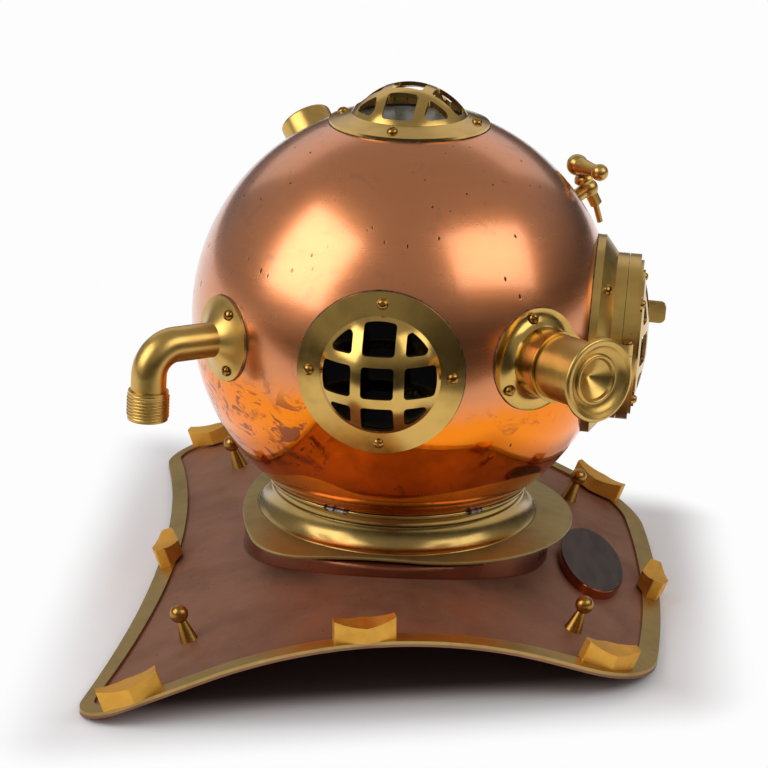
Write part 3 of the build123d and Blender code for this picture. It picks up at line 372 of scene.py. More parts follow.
def finish_shader(tree, inputs):
    """Ends a material with its one shader and the output."""
    shader = add(tree, "ShaderNodeBsdfPrincipled", inputs)
    add(tree, "ShaderNodeOutputMaterial", {"Surface": shader})


def per_mm(size):
    """The texture scale at which one cell of a pattern is a size in millimetres."""
    return 1.0 / (size * MM)


def clouds(tree, place, size, detail, between, result=(0.0, 1.0), roughness=0.55, distortion=0.0):
    """Patches some millimetres across: how far a noise has passed between two of its values.

    It runs smoothly from the first value of result, below them, to the second, above them.
    """
    pattern = add(tree, "ShaderNodeTexNoise", {"Vector": place, "Scale": per_mm(size), "Detail": detail,
                                               "Roughness": roughness, "Distortion": distortion})
    return add(tree, "ShaderNodeMapRange", {"Value": pattern, "From Min": between[0], "From Max": between[1],
                                            "To Min": result[0], "To Max": result[1]}, **SMOOTH)


def specks(tree, place, size, share, width):
    """Scattered spots: points of a cell pattern, kept where the cell's own chance is small.

    size is a cell's in millimetres, share the part of the cells with a spot, and width
    the spot's radius in cells.
    """
    cells = add(tree, "ShaderNodeTexVoronoi", {"Vector": place, "Scale": per_mm(size)})
    chance = add(tree, "ShaderNodeSeparateColor", {"Color": cells.outputs["Color"]})
    kept = add(tree, "ShaderNodeMath", {0: chance, 1: share}, operation="LESS_THAN")
    spot = add(tree, "ShaderNodeMapRange", {"Value": cells.outputs["Distance"], "From Min": width,
                                            "From Max": width * 0.55}, **SMOOTH)
    return multiplied(tree, [spot, kept])


def multiplied(tree, masks):
    """Masks multiplied together, so that the result is 1 only where all of them are."""
    product = masks[0]
    for mask in masks[1:]:
        product = add(tree, "ShaderNodeMath", {0: product, 1: mask}, operation="MULTIPLY")
    return product


def stained(tree, colour, layers):
    """A colour with others laid over it in turn: pairs of a mask and what shows where it is 1."""
    for mask, over in layers:
        colour = add(tree, "ShaderNodeMix", {0: mask, 6: colour, 7: over}, data_type="RGBA")
    return colour


def bumped(tree, layers):
    """Bump from several heights: each with its real height in millimetres and its strength."""
    normal = None
    for height, depth, strength in layers:
        inputs = {"Height": height, "Distance": depth * MM, "Strength": strength}
        if normal is not None:
            inputs["Normal"] = normal
        normal = add(tree, "ShaderNodeBump", inputs)
    return normal


def painted_reflection_patches(tree, place, height, backward):
    """Torn dark patches low down on the bonnet's back: painted reflections of the dim room in the bright
    copper.
    """
    squashed = add(tree, "ShaderNodeVectorMath", {0: place, 1: (1.0, 0.8, 1.3)}, operation="MULTIPLY")
    patches = clouds(tree, squashed, size=30.0, detail=7.0, between=(0.54, 0.58), roughness=0.6,
                     distortion=2.4)
    behind = add(tree, "ShaderNodeMapRange", {"Value": backward, "From Min": 25.0 * MM,
                                              "From Max": 60.0 * MM}, **SMOOTH)
    under = add(tree, "ShaderNodeMapRange", {"Value": height, "From Min": -12.0 * MM,
                                             "From Max": -34.0 * MM}, **SMOOTH)
    over = add(tree, "ShaderNodeMapRange", {"Value": height, "From Min": -88.0 * MM, "From Max": -70.0 * MM,
                                            "To Max": 0.8}, **SMOOTH)
    return multiplied(tree, [patches, behind, under, over])


def copper_pits(tree, place):
    """Dark pits: upright ones that gather in patches, and fine ones everywhere."""
    upright = add(tree, "ShaderNodeVectorMath", {0: place, 1: (1.0, 1.0, 0.3)}, operation="MULTIPLY")
    patches = clouds(tree, place, size=85.0, detail=2.0, between=(0.43, 0.56))
    coarse = multiplied(tree, [specks(tree, upright, size=7.0, share=0.42, width=0.15), patches])
    fine = specks(tree, upright, size=11.0, share=0.1, width=0.07)
    return add(tree, "ShaderNodeMath", {0: coarse, 1: fine}, operation="MAXIMUM")


def copper_roughness(tree, place, crown, stain, inside):
    """Near a mirror below, satin on the crown, rubbed in level strokes, and duller in stains and inside."""
    satin = add(tree, "ShaderNodeMapRange", {"Value": crown, "To Min": 0.085, "To Max": 0.255}, **SMOOTH)
    strokes = add(tree, "ShaderNodeVectorMath", {0: place, 1: (1.0, 1.0, 6.0)}, operation="MULTIPLY")
    rubbed = clouds(tree, strokes, size=40.0, detail=5.0, between=(0.3, 0.7), result=(-0.01, 0.02))
    rough = add(tree, "ShaderNodeMath", {0: satin, 1: rubbed}, operation="ADD")
    rough = add(tree, "ShaderNodeMath", {0: rough, 1: multiplied(tree, [stain, 0.12])}, operation="ADD")
    return add(tree, "ShaderNodeMath", {0: rough, 1: multiplied(tree, [inside, 0.75])}, operation="MAXIMUM")


def spun_copper(metals):
    """Copper spun over a former, rubbed bright below and lightly tarnished on the crown.

    Fine turning lines run level round it, small pits and stains show dark, torn patches low
    on the back are painted reflections, and the tinned, tarnished inside is painted nearly black as shade.
    A thin lacquer is left on the crown, whose lower border wanders with a slow noise.
    """
    material, tree, place = new_material("spun_copper")
    from_centre = add(tree, "ShaderNodeVectorMath", {0: place, 1: tuple(BALL_CENTRE)}, operation="SUBTRACT")
    reach = add(tree, "ShaderNodeVectorMath", {0: from_centre}, operation="LENGTH")
    # Painted shade: inside the ball the colour turns nearly black.
    inside = add(tree, "ShaderNodeMapRange", {"Value": reach, "From Min": BALL_RADIUS - 0.7 * BALL_WALL,
                                              "From Max": BALL_RADIUS - 0.9 * BALL_WALL}, **SMOOTH)
    parts = add(tree, "ShaderNodeSeparateXYZ", {"Vector": from_centre})
    backward, height = parts.outputs["Y"], parts.outputs["Z"]
    wander = add(tree, "ShaderNodeTexNoise", {"Vector": place, "Scale": per_mm(70.0), "Detail": 4.0,
                                              "Roughness": 0.55})
    drift = add(tree, "ShaderNodeMath", {0: wander, 1: 70.0 * MM, 2: -35.0 * MM}, operation="MULTIPLY_ADD")
    level = add(tree, "ShaderNodeMath", {0: height, 1: drift}, operation="ADD")
    crown = add(tree, "ShaderNodeMapRange", {"Value": level, "From Min": -26.0 * MM,
                                             "From Max": 0.0}, **SMOOTH)
    low_down = add(tree, "ShaderNodeMapRange", {"Value": level, "From Min": 20.0 * MM,
                                                "From Max": -30.0 * MM, "To Min": 0.22,
                                                "To Max": 0.75}, **SMOOTH)
    blotches = clouds(tree, place, size=28.0, detail=6.0, between=(0.56, 0.72), roughness=0.65,
                      distortion=1.2)
    stain = multiplied(tree, [blotches, low_down])
    # Painted reflection: these dark patches stand for the room mirrored low on the back.
    reflection_patches = painted_reflection_patches(tree, place, height, backward)
    smoky = clouds(tree, place, size=16.0, detail=5.0, between=(0.6, 0.78), result=(0.0, 0.25),
                   roughness=0.6, distortion=0.6)
    pits = copper_pits(tree, place)
    verdigris = specks(tree, place, size=26.0, share=0.06, width=0.06)
    # The torn patches are painted reflection, and the nearly black inside is painted shade.
    colour = stained(tree, metals.polished_copper, [
        (crown, metals.tarnished_copper), (stain, linear("8C4A35")), (reflection_patches, linear("7C4436")),
        (smoky, linear("7A5458")), (pits, linear("2C1A14")), (verdigris, linear("3FB08C")),
        (inside, linear("171412"))])
    dirt = add(tree, "ShaderNodeMath", {0: pits, 1: verdigris}, operation="MAXIMUM")
    metal = add(tree, "ShaderNodeMath", {0: 1.0, 1: multiplied(tree, [dirt, 0.4])}, operation="SUBTRACT")
    level_lines = add(tree, "ShaderNodeVectorMath", {0: place, 1: (0.02, 0.02, 1.0)}, operation="MULTIPLY")
    turning = add(tree, "ShaderNodeTexNoise", {"Vector": level_lines, "Scale": per_mm(1.1),
                                               "Roughness": 0.55})
    waver = add(tree, "ShaderNodeTexNoise", {"Vector": place, "Scale": per_mm(55.0), "Roughness": 0.55})
    sunk = add(tree, "ShaderNodeMath", {0: 1.0, 1: pits}, operation="SUBTRACT")
    lacquer = add(tree, "ShaderNodeMapRange", {"Value": crown, "To Max": 0.8}, **SMOOTH)
    lacquer = add(tree, "ShaderNodeMath", {0: lacquer, 1: dirt}, operation="SUBTRACT")
    lacquer = add(tree, "ShaderNodeMath", {0: lacquer, 1: 0.0}, operation="MAXIMUM")
    finish_shader(tree, {
        "Base Color": colour, "Metallic": metal,
        "Roughness": copper_roughness(tree, place, crown, stain, inside),
        "Normal": bumped(tree, [(waver, 1.1, 0.22), (turning, 0.05, 0.10), (sunk, 0.3, 0.4)]),
        "Coat Weight": lacquer, "Coat Roughness": 0.14})
    return material


def browned_copper(metals):
    """Sheet copper raised over a stake, then left dull: browned, scratched and faintly dimpled.

    The riser under the collar, bent up from the same sheet, is smoother, and its colour is darkened as
    painted shade under the saucer.
    """
    material, tree, place = new_material("browned_copper")
    dark = tuple(0.76 * value for value in metals.corselet_copper)
    shade = clouds(tree, place, size=60.0, detail=6.0, between=(0.35, 0.7), roughness=0.6, distortion=0.5)
    warm = clouds(tree, place, size=23.0, detail=5.0, between=(0.52, 0.75), result=(0.0, 0.25),
                  roughness=0.7)
    spots = specks(tree, place, size=5.0, share=0.2, width=0.14)
    uneven_way = add(tree, "ShaderNodeVectorMath", {0: place, 1: (1.0, 1.3, 0.8)}, operation="MULTIPLY")
    chips = specks(tree, uneven_way, size=13.0, share=0.1, width=0.05)
    verdigris = specks(tree, place, size=31.0, share=0.05, width=0.07)
    from_neck = add(tree, "ShaderNodeVectorMath", {0: place, 1: tuple(NECK_FOOT)}, operation="SUBTRACT")
    level = add(tree, "ShaderNodeVectorMath", {0: from_neck, 1: (1.0, 1.0, 0.0)}, operation="MULTIPLY")
    reach = add(tree, "ShaderNodeVectorMath", {0: level}, operation="LENGTH")
    # Painted shade: the riser's dark colour stands for the shade under the saucer.
    riser = add(tree, "ShaderNodeMapRange", {"Value": reach, "From Min": RISER_RADIUS + 1.2 * MM,
                                             "From Max": RISER_RADIUS + 0.6 * MM}, **SMOOTH)
    colour = stained(tree, metals.corselet_copper, [
        (shade, dark), (warm, linear("8A5442")), (spots, linear("3A2A26")), (chips, linear("C0A08C")),
        (verdigris, linear("4C9C84")), (riser, linear("7E4830"))])
    dull = clouds(tree, place, size=18.0, detail=5.0, between=(0.25, 0.75), result=(0.52, 0.66))
    smoother = add(tree, "ShaderNodeMapRange", {"Value": riser, "To Min": 1.0, "To Max": 0.5}, **SMOOTH)
    dimples = add(tree, "ShaderNodeTexVoronoi", {"Vector": place, "Scale": per_mm(17.0)},
                  feature="SMOOTH_F1")
    lengthways = add(tree, "ShaderNodeVectorMath", {0: place, 1: (0.06, 1.0, 1.0)}, operation="MULTIPLY")
    scratches = add(tree, "ShaderNodeTexNoise", {"Vector": lengthways, "Scale": per_mm(1.6),
                                                 "Roughness": 0.55})
    grain = add(tree, "ShaderNodeTexNoise", {"Vector": place, "Scale": per_mm(2.2), "Roughness": 0.55})
    finish_shader(tree, {
        "Base Color": colour, "Metallic": 0.8, "Roughness": multiplied(tree, [dull, smoother]),
        "Normal": bumped(tree, [(dimples, 0.25, 0.2), (scratches, 0.05, 0.12), (grain, 0.05, 0.3)])})
    return material


def rubbed_boss(metals):
    """The oval boss: a dull brown face rubbed in streaks, with its turned side still bright."""
    material, tree, place = new_material("rubbed_boss")
    outward = add(tree, "ShaderNodeNewGeometry").outputs["Normal"]
    facing = add(tree, "ShaderNodeVectorMath", {0: outward, 1: BOSS_FACING}, operation="DOT_PRODUCT")
    face = add(tree, "ShaderNodeMapRange", {"Value": facing, "From Min": 0.55, "From Max": 0.8}, **SMOOTH)
    lengthways = add(tree, "ShaderNodeVectorMath", {0: place, 1: (0.25, 1.0, 1.0)}, operation="MULTIPLY")
    streaks = clouds(tree, lengthways, size=9.0, detail=5.0, between=(0.35, 0.7))
    rubbed = stained(tree, metals.boss_top, [(streaks, linear("3E322D"))])
    grain = add(tree, "ShaderNodeTexNoise", {"Vector": place, "Scale": per_mm(1.4), "Detail": 3.0,
                                             "Roughness": 0.55})
    rough = add(tree, "ShaderNodeMapRange", {"Value": face, "To Min": 0.16, "To Max": 0.36}, **SMOOTH)
    finish_shader(tree, {"Base Color": stained(tree, linear("A5562E"), [(face, rubbed)]), "Metallic": 0.92,
                         "Roughness": rough, "Normal": bumped(tree, [(grain, 0.06, 0.3)])})
    return material


def brass(name, clean, roughness, grain, depth, tarnish):
    """Brass with an olive tarnish in clouds, fine brushing and the odd dark pit.

    grain is the size of its surface texture and depth the height of it, in mm: a few
    hundredths where it was turned, a few tenths where it came from the sand.
    """
    material, tree, place = new_material(name)
    olive = clouds(tree, place, size=32.0, detail=5.0, between=(0.42, 0.75), result=(0.0, 0.3),
                   roughness=0.6, distortion=0.4)
    red = clouds(tree, place, size=14.0, detail=4.0, between=(0.58, 0.75), result=(0.0, 0.12))
    pits = specks(tree, place, size=11.0, share=0.1, width=0.05)
    colour = stained(tree, clean, [(olive, linear(tarnish)), (red, linear("B9824A")),
                                   (pits, linear("2E2212"))])
    metal = add(tree, "ShaderNodeMath", {0: 1.0, 1: multiplied(tree, [pits, 0.6])}, operation="SUBTRACT")
    upright = add(tree, "ShaderNodeVectorMath", {0: place, 1: (1.0, 1.0, 0.25)}, operation="MULTIPLY")
    brushing = add(tree, "ShaderNodeTexNoise", {"Vector": upright, "Scale": per_mm(grain), "Detail": 3.0,
                                                "Roughness": 0.55})
    waver = add(tree, "ShaderNodeTexNoise", {"Vector": place, "Scale": per_mm(26.0), "Roughness": 0.55})
    finish_shader(tree, {
        "Base Color": colour, "Metallic": metal,
        "Roughness": clouds(tree, place, size=9.0, detail=5.0, between=(0.25, 0.75), result=roughness),
        "Normal": bumped(tree, [(waver, 0.2, 0.2), (brushing, depth, 0.3)])})
    return material


def soft_solder(name, clean):
    """Soft solder wiped round a joint: grey, lumpy and tarnished dark in its hollows."""
    material, tree, place = new_material(name)
    tarnish = clouds(tree, place, size=4.0, detail=4.0, between=(0.4, 0.65))
    lumps = add(tree, "ShaderNodeTexNoise", {"Vector": place, "Scale": per_mm(1.5), "Detail": 3.0,
                                             "Roughness": 0.55})
    finish_shader(tree, {"Base Color": stained(tree, clean, [(tarnish, linear("2E2824"))]), "Metallic": 0.8,
                         "Roughness": 0.48, "Normal": bumped(tree, [(lumps, 0.3, 0.5)])})
    return material


def window_glass(name, dust):
    """Thick plate glass tinted nearly black, as painted shade for the dim inside: little passes two panes,
    and dust softens its gloss.

    dust is how much of the pane it hides where it lies thickest.
    """
    material, tree, place = new_material(name)
    film = clouds(tree, place, size=12.0, detail=4.0, between=(0.35, 0.75), result=(0.02, 0.14))
    dusty = clouds(tree, place, size=9.0, detail=5.0, between=(0.3, 0.7), result=(0.7 * dust, dust))
    # Painted shade: the pane's dark tint keeps the windows dark.
    colour = stained(tree, linear("5C6664"), [(dusty, linear("A9A79F"))])
    rough = add(tree, "ShaderNodeMath", {0: film, 1: multiplied(tree, [dusty, 0.4])}, operation="ADD")
    clear = add(tree, "ShaderNodeMath", {0: 1.0, 1: dusty}, operation="SUBTRACT")
    finish_shader(tree, {"Base Color": colour, "Roughness": rough, "IOR": 1.52,
                         "Transmission Weight": clear})
    return material


def greased_packing():
    """Greased leather and rubber packing: nearly black, matt and slightly grained."""
    material, tree, place = new_material("greased_packing")
    worn = clouds(tree, place, size=6.0, detail=4.0, between=(0.3, 0.7))
    grain = add(tree, "ShaderNodeTexNoise", {"Vector": place, "Scale": per_mm(0.9), "Roughness": 0.55})
    finish_shader(tree, {"Base Color": stained(tree, linear("2B211B"), [(worn, linear("15110E"))]),
                         "Roughness": 0.62, "Normal": bumped(tree, [(grain, 0.1, 0.4)])})
    return material


# Studio

# Each softbox: its direction and its upright as the camera sees them (right, up, back), and
# its width and height as shares of its distance
SOFTBOXES = {
    "left": ((-0.728, 0.438, 0.524), (0.5, 0.85, 0.1), (0.72, 0.76)),
    "right": ((0.655, 0.425, 0.53), (0.05, 1.0, 0.0), (0.82, 0.52)),
    "back": ((0.0, 0.80, -0.60), (0.0, 0.60, 0.80), (1.5, 0.6)),
}

# The camera's azimuth, elevation and roll in degrees, and its place from the ball's centre:
# right, up and back
CAMERA_ANGLES = (-87.61, 18.48, 1.695)
CAMERA_PLACE = np.array([-13.92, -49.67, 1967.0]) * MM

# The corselet's plan on the floor: its half width in the middle, how that grows towards the
# back for each metre, and half its length
PLAN_HALF_WIDTH = 220.5 * MM
PLAN_SPREAD = 0.25
PLAN_HALF_LENGTH = 200.0 * MM

# Where the table ends on the camera's side, for what the metal mirrors
TABLE_EDGE = -540.0 * MM

FLOOR_STEPS = 9


def pose_matrix(axes, place):
    """The matrix of an object whose X, Y and Z run along the rows of axes, standing at a place."""
    return Matrix([[*axes[:, row], place[row]] for row in range(3)] + [[0, 0, 0, 1]])


def camera_pose():
    """The camera's right, up and back directions, as rows, and where it stands."""
    azimuth, elevation, roll = (math.radians(angle) for angle in CAMERA_ANGLES)
    back = np.array([math.sin(azimuth) * math.cos(elevation), -math.cos(azimuth) * math.cos(elevation),
                     math.sin(elevation)])
    level = np.array([math.cos(azimuth), math.sin(azimuth), 0.0])
    above = np.cross(back, level)
    right = level * math.cos(roll) + above * math.sin(roll)
    up = above * math.cos(roll) - level * math.sin(roll)
    axes = np.stack([right, up, back])
    return axes, BALL_CENTRE + CAMERA_PLACE @ axes


def beside_plan(tree, place):
    """How far a point of the floor lies beside the corselet's plan, and from its middle lengthways."""
    parts = add(tree, "ShaderNodeSeparateXYZ", {"Vector": place})
    spread = multiplied(tree, [parts.outputs["Y"], PLAN_SPREAD])
    half_width = add(tree, "ShaderNodeMath", {0: spread, 1: PLAN_HALF_WIDTH}, operation="ADD")
    across = add(tree, "ShaderNodeMath", {0: parts.outputs["X"]}, operation="ABSOLUTE")
    outside = add(tree, "ShaderNodeMath", {0: across, 1: half_width}, operation="SUBTRACT")
    lengthways = add(tree, "ShaderNodeMath", {0: parts.outputs["Y"]}, operation="ABSOLUTE")
    return outside, lengthways


def painted_shadow_under_helmet(tree, outside, lengthways):
    """1 where a shadow is painted on the floor under the helmet, following the corselet's plan, and 0
    beyond.
    """
    across = add(tree, "ShaderNodeMapRange", {"Value": outside, "From Min": -12.0 * MM,
                                              "From Max": -45.0 * MM}, **SMOOTH)
    along = add(tree, "ShaderNodeMapRange", {"Value": lengthways, "From Min": 185.0 * MM,
                                             "From Max": 150.0 * MM}, **SMOOTH)
    return multiplied(tree, [across, along])


def lit_sweep(tree, paper, outside, lengthways, mirrored):
    """Away from the helmet the paper glows plain white, as under lights of its own.

    The camera and the metal see that white, and the paper close by keeps the shadow.
    """
    too_long = add(tree, "ShaderNodeMath", {0: lengthways, 1: PLAN_HALF_LENGTH}, operation="SUBTRACT")
    beyond = add(tree, "ShaderNodeCombineXYZ", {
        "X": add(tree, "ShaderNodeMath", {0: outside, 1: 0.0}, operation="MAXIMUM"),
        "Y": add(tree, "ShaderNodeMath", {0: too_long, 1: 0.0}, operation="MAXIMUM")})
    away = add(tree, "ShaderNodeVectorMath", {0: beyond}, operation="LENGTH")
    glow = add(tree, "ShaderNodeMapRange", {"Value": away, "From Max": 60.0 * MM}, **SMOOTH)
    camera_ray = add(tree, "ShaderNodeLightPath").outputs["Is Camera Ray"]
    seen = add(tree, "ShaderNodeMath", {0: camera_ray, 1: mirrored}, operation="MAXIMUM")
    lit = add(tree, "ShaderNodeEmission", {"Color": linear("FDFDFD"), "Strength": 1.0})
    return add(tree, "ShaderNodeMixShader", {0: multiplied(tree, [glow, seen]), 1: paper, 2: lit})


def make_floor(half):
    """The floor: white paper up to the table's edge, with a shadow painted in dark grey under the helmet.

    The metal mirrors the paper up to that edge, and beyond it the dim room.
    """
    material, tree, place = new_material("white_paper")
    outside, lengthways = beside_plan(tree, place)
    mottled = clouds(tree, place, size=900.0, detail=2.0, between=(0.3, 0.7))
    # Painted shadow: the paper's colour turns dark grey under the helmet.
    colour = stained(tree, linear("F6F5F7"), [(mottled, linear("F9F8F9")),
                                              (painted_shadow_under_helmet(tree, outside, lengthways), linear("6A6260"))])
    paper = add(tree, "ShaderNodeBsdfPrincipled", {"Base Color": colour, "Roughness": 0.9,
                                                   "Specular IOR Level": 0.2})
    ray = add(tree, "ShaderNodeLightPath")
    mirrored = add(tree, "ShaderNodeMath", {0: ray.outputs["Is Glossy Ray"],
                                            1: ray.outputs["Is Transmission Ray"]}, operation="MAXIMUM")
    sweep = lit_sweep(tree, paper, outside, lengthways, mirrored)
    sideways = add(tree, "ShaderNodeSeparateXYZ", {"Vector": place}).outputs["X"]
    past_edge = add(tree, "ShaderNodeMapRange", {"Value": sideways, "From Min": TABLE_EDGE,
                                                 "From Max": TABLE_EDGE - 60.0 * MM}, **SMOOTH)
    dim = add(tree, "ShaderNodeEmission", {"Color": linear("423F3F"), "Strength": 1.0})
    table = add(tree, "ShaderNodeMixShader", {0: multiplied(tree, [past_edge, mirrored]), 1: sweep, 2: dim})
    add(tree, "ShaderNodeOutputMaterial", {"Surface": table})
    steps = np.linspace(-half, half, FLOOR_STEPS)
    x, y = np.meshgrid(steps, steps, indexing="ij")
    floor = mesh_object("floor", np.stack([x, y, 0 * x], axis=-1), (False, False), material)


def make_room(scene):
    """A white wall to look at, and the dim room that the metal mirrors.

    The room is darkest at eye level, paler towards its ceiling and on the camera's left.
    """
    world = bpy.data.worlds.new("room")
    scene.world = world
    world.use_nodes = True
    tree = world.node_tree
    tree.nodes.clear()
    direction = add(tree, "ShaderNodeTexCoord").outputs["Generated"]
    parts = add(tree, "ShaderNodeSeparateXYZ", {"Vector": direction})
    ceiling = add(tree, "ShaderNodeMapRange", {"Value": parts.outputs["Z"], "From Min": 0.03,
                                               "From Max": 0.6}, **SMOOTH)
    leftward = add(tree, "ShaderNodeMapRange", {"Value": parts.outputs["Y"], "From Min": 0.1,
                                                "From Max": 0.95, "To Max": 0.8}, **SMOOTH)
    ray = add(tree, "ShaderNodeLightPath")
    seen = add(tree, "ShaderNodeMath", {0: ray.outputs["Is Camera Ray"],
                                        1: ray.outputs["Is Transmission Ray"]}, operation="MAXIMUM")
    colour = stained(tree, linear("454442"), [(ceiling, linear("A4A4A5")), (leftward, linear("A6A6A7")),
                                              (seen, linear("FDFDFD"))])
    background = add(tree, "ShaderNodeBackground", {"Color": colour, "Strength": 1.0})
    add(tree, "ShaderNodeOutputWorld", {"Surface": background})


def make_softbox(name, camera_axes, direction, upright, size, brightness, distance):
    """A soft rectangle of light, in a direction seen from the camera, facing the bonnet.

    Its brightness is 1 where a white sheet in its place would look plain white.
    """
    back = np.array(direction) @ camera_axes
    back /= np.linalg.norm(back)
    right = np.cross(np.array(upright) @ camera_axes, back)
    right /= np.linalg.norm(right)
    light = bpy.data.lights.new(name, "AREA")
    light.shape = "RECTANGLE"
    light.size, light.size_y = size[0] * distance, size[1] * distance
    light.energy = brightness * math.pi * light.size * light.size_y
    lamp = bpy.data.objects.new(name, light)
    axes = np.stack([right, np.cross(back, right), back])
    lamp.matrix_world = pose_matrix(axes, BALL_CENTRE + back * distance)
    lamp.visible_camera = False
    bpy.context.scene.collection.objects.link(lamp)


# Which node gets which finish

WINDOWS = ("right_window", "left_window", "top_window")
SATIN = (*(window + "_guard" for window in WINDOWS), *(window + "_retaining_ring" for window in WINDOWS),
         "face_door_guard", "exhaust_valve_body", "exhaust_valve_disc", "bonnet_neck_ring",
         "face_thumb_screw")
BRUSHED = ("cable_inlet", "spitcock_body", "spitcock_packing_nut", "spitcock_handle", "exhaust_valve_cap",
           "face_port_frame", "face_door", "face_door_ring", "air_elbow")
SCREWS = (*(window + "_screws" for window in WINDOWS), "face_port_screws", "face_door_screws",
          "exhaust_valve_screws", "air_elbow_screws", "face_hinge_pin")
CLEAR_PANES = ("right_window_glass", "left_window_glass", "face_door_glass")
PACKINGS = (*(window + "_gasket" for window in WINDOWS), "face_door_gasket", "face_port_seal", "neck_gasket")

# Each brass finish: its colour setting, the least and most roughness, the size and height of
# its grain in mm, the colour of its tarnish, and the nodes that have it
BRASSES = {
    "satin_brass": ("satin_brass", (0.16, 0.24), 0.5, 0.02, "6E5420", SATIN),
    "brushed_brass": ("satin_brass", (0.28, 0.36), 0.4, 0.03, "6E5420", BRUSHED),
    "collar_brass": ("collar_brass", (0.2, 0.27), 0.6, 0.01, "6A5228", ("neck_collar",)),
    "saucer_brass": ("saucer_brass", (0.46, 0.56), 0.6, 0.03, "6A5228", ()),
    "stud_brass": ("stud_brass", (0.24, 0.34), 0.6, 0.03, "6E5420", ("corselet_lashing_studs",)),
    "band_brass": ("band_brass", (0.34, 0.48), 0.6, 0.06, "6E5420", ("corselet_edge_band",)),
    "cast_brass": ("lug_brass", (0.44, 0.6), 1.6, 0.3, "7A5E2A", ("corselet_edge_lugs",)),
    "screw_brass": ("stud_brass", (0.18, 0.3), 0.4, 0.03, "6E5420", SCREWS),
    "spring_bronze": ("lug_brass", (0.25, 0.35), 0.4, 0.02, "6E5420", ("exhaust_valve_spring",)),
}


def dress(names, material):
    """Gives nodes of the frame a finish in place of their plain one."""
    for name in names:
        nodes[name].data.materials.clear()
        nodes[name].data.materials.append(material)


# Operators: one for each piece or group of like pieces

class HELMET_OT_copper_sheets(bpy.types.Operator):
    """Gives the bonnet its spun copper and the corselet its browned copper"""
    bl_idname = "helmet.copper_sheets"
    bl_label = "Copper sheets"

    def execute(self, context):
        metals = context.scene.helmet_metals
        dress(["bonnet_shell"], spun_copper(metals))
        dress(["corselet_plate"], browned_copper(metals))
        dress(["corselet_front_boss"], rubbed_boss(metals))
        return {"FINISHED"}


class HELMET_OT_brass_fittings(bpy.types.Operator):
    """Gives the turned, cast and filed brass fittings their finishes"""
    bl_idname = "helmet.brass_fittings"
    bl_label = "Brass fittings"

    def execute(self, context):
        metals = context.scene.helmet_metals
        for name, (setting, roughness, grain, depth, tarnish, dressed) in BRASSES.items():
            dress(dressed, brass(name, getattr(metals, setting), roughness, grain, depth, tarnish))
        return {"FINISHED"}


class HELMET_OT_glass_and_packing(bpy.types.Operator):
    """Gives the windows their plate glass and the joints their packing"""
    bl_idname = "helmet.glass_and_packing"
    bl_label = "Glass and packing"

    def execute(self, context):
        dress(CLEAR_PANES, window_glass("plate_glass", 0.0))
        dress(["top_window_glass"], window_glass("dusty_glass", 0.75))
        dress(PACKINGS, greased_packing())
        return {"FINISHED"}


class HELMET_OT_solder_beads(bpy.types.Operator):
    """Runs a fillet of solder round the foot of each fitting on the bonnet"""
    bl_idname = "helmet.solder_beads"
    bl_label = "Solder beads"

    def execute(self, context):
        trim = context.scene.helmet_trim
        width = trim.bead_width
        solder = soft_solder("old_solder", context.scene.helmet_metals.old_solder)
        for seed, (name, (azimuth, latitude, foot)) in enumerate(FITTINGS.items()):
            radius = foot * MM
            height = math.sqrt(BALL_RADIUS ** 2 - radius ** 2)
            fall = math.sqrt(BALL_RADIUS ** 2 - (radius + width) ** 2) - height
            bead = ring_bead(radius, height, (0.0, width), (width, fall), trim.ring_steps, seed)
            grid = placed(bead, fitting_axes(azimuth, latitude))
            make_piece("solder_" + name, grid, (True, True), solder, "bonnet")
        return {"FINISHED"}


class HELMET_OT_neck_collar(bpy.types.Operator):
    """Turns the neck collar with its hollow sweep, incised line and rounded lip"""
    bl_idname = "helmet.neck_collar"
    bl_label = "Neck collar"

    def execute(self, context):
        collar = make_piece("neck_collar_turned", collar_grid() * MM + NECK_FOOT, (True, True),
                            bpy.data.materials["collar_brass"], "corselet")
        collar.data.materials.append(bpy.data.materials["saucer_brass"])
        columns = len(COLLAR_PROFILE + SAUCER_EDGE)
        column = np.arange(COLLAR_STEPS * columns) % columns
        on_saucer = (column >= len(COLLAR_PROFILE) - 1) & (column < columns - 1)
        collar.data.polygons.foreach_set("material_index", on_saucer.astype(np.int32))
        collar.data.set_sharp_from_angle(angle=math.radians(COLLAR_CREASE))
        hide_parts("neck_collar")
        return {"FINISHED"}


class HELMET_OT_solder_lumps(bpy.types.Operator):
    """Leaves two lumps of fresh solder on the collar's lip"""
    bl_idname = "helmet.solder_lumps"
    bl_label = "Solder lumps"

    def execute(self, context):
        solder = soft_solder("fresh_solder", context.scene.helmet_metals.fresh_solder)
        for number, (middle, half) in enumerate(SOLDER_LUMPS):
            grid = lump_arc(middle, half, FIRST_LUMP_SEED + number)
            make_piece("neck_solder_%d" % (number + 1), grid, (False, True), solder, "corselet")
        return {"FINISHED"}


class HELMET_OT_port_lip(bpy.types.Operator):
    """Closes the gap between the face port's frame and its door with a dark lip of packing, as painted shade
    """
    bl_idname = "helmet.port_lip"
    bl_label = "Face port lip"

    def execute(self, context):
        angle = np.linspace(0, 2 * math.pi, LIP_STEPS, endpoint=False)[:, None]
        radius, level = np.array(LIP_SECTION).T
        ring = np.stack([radius * np.cos(angle), radius * np.sin(angle), level + 0 * angle], axis=-1)
        # Painted shade: the dark lip makes the gap show dark.
        grid = placed(ring * MM, fitting_axes(*FITTINGS["face_port"][:2]))
        make_piece("face_port_gap_shade_lip", grid, (True, True), bpy.data.materials["greased_packing"],
                   "bonnet")
        return {"FINISHED"}


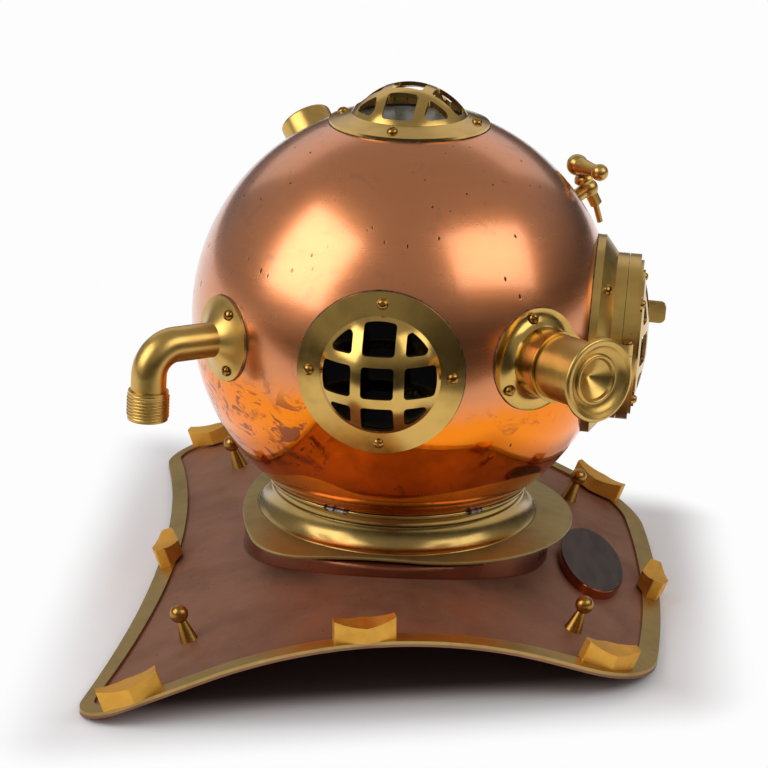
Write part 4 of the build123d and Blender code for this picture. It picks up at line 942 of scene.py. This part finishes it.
class HELMET_OT_threads(bpy.types.Operator):
    """Cuts the screw thread on the air elbow's end and inside the cable inlet"""
    bl_idname = "helmet.threads"
    bl_label = "Hose and cable threads"

    def execute(self, context):
        trim = context.scene.helmet_trim
        pitch, depth = trim.thread_pitch, trim.thread_depth
        threaded = bpy.data.materials["brushed_brass"]
        axes = fitting_axes(*FITTINGS["air_elbow"][:2])
        downward = np.stack([axes[0], axes[2], -axes[1]])
        ridge = helix_ridge(*ELBOW_THREAD, pitch, depth)
        grid = placed(ridge, downward, BALL_CENTRE + ELBOW_ARM * axes[2])
        make_piece("air_elbow_thread", grid, (False, False), threaded, "bonnet")
        ridge = helix_ridge(*INLET_THREAD, pitch, depth, inward=True)
        grid = placed(ridge, fitting_axes(*FITTINGS["cable_inlet"][:2]))
        make_piece("cable_inlet_thread", grid, (False, False), threaded, "bonnet")
        return {"FINISHED"}


class HELMET_OT_studio(bpy.types.Operator):
    """Sets the white floor, the dim room, the softboxes and the camera"""
    bl_idname = "helmet.studio"
    bl_label = "Studio"

    def execute(self, context):
        studio = context.scene.helmet_studio
        make_floor(studio.floor_half)
        make_room(context.scene)
        camera_axes, camera_place = camera_pose()
        for name, (direction, upright, size) in SOFTBOXES.items():
            brightness = getattr(studio, name + "_brightness")
            make_softbox(name + "_softbox", camera_axes, direction, upright, size, brightness,
                         studio.light_distance)
        camera = bpy.data.cameras.new("camera")
        camera.lens = studio.lens
        camera.sensor_width = 36.0
        camera_object = bpy.data.objects.new("camera", camera)
        context.scene.collection.objects.link(camera_object)
        camera_object.matrix_world = pose_matrix(camera_axes, camera_place)
        context.scene.camera = camera_object
        context.scene.view_settings.view_transform = "Standard"
        return {"FINISHED"}


OPERATORS = (HELMET_OT_copper_sheets, HELMET_OT_brass_fittings, HELMET_OT_glass_and_packing,
             HELMET_OT_neck_collar, HELMET_OT_solder_beads, HELMET_OT_solder_lumps, HELMET_OT_port_lip,
             HELMET_OT_threads, HELMET_OT_studio)


class HELMET_PT_panel(bpy.types.Panel):
    """Lists the helmet's making steps in the 3D view's sidebar"""
    bl_idname = "HELMET_PT_panel"
    bl_label = "Diving helmet"
    bl_space_type = "VIEW_3D"
    bl_region_type = "UI"
    bl_category = "Diving Helmet"

    def draw(self, context):
        for operator in OPERATORS:
            self.layout.operator(operator.bl_idname)


CLASSES = (HelmetMetals, HelmetTrim, HelmetStudio, *OPERATORS, HELMET_PT_panel)


def register():
    for item in CLASSES:
        bpy.utils.register_class(item)
    bpy.types.Scene.helmet_metals = PointerProperty(type=HelmetMetals)
    bpy.types.Scene.helmet_trim = PointerProperty(type=HelmetTrim)
    bpy.types.Scene.helmet_studio = PointerProperty(type=HelmetStudio)


def unregister():
    del bpy.types.Scene.helmet_studio
    del bpy.types.Scene.helmet_trim
    del bpy.types.Scene.helmet_metals
    for item in reversed(CLASSES):
        bpy.utils.unregister_class(item)


def main():
    """Makes everything in order."""
    register()
    bpy.ops.helmet.copper_sheets()
    bpy.ops.helmet.brass_fittings()
    bpy.ops.helmet.glass_and_packing()
    bpy.ops.helmet.neck_collar()
    bpy.ops.helmet.solder_beads()
    bpy.ops.helmet.solder_lumps()
    bpy.ops.helmet.port_lip()
    bpy.ops.helmet.threads()
    bpy.ops.helmet.studio()


if __name__ == "__main__":
    main()
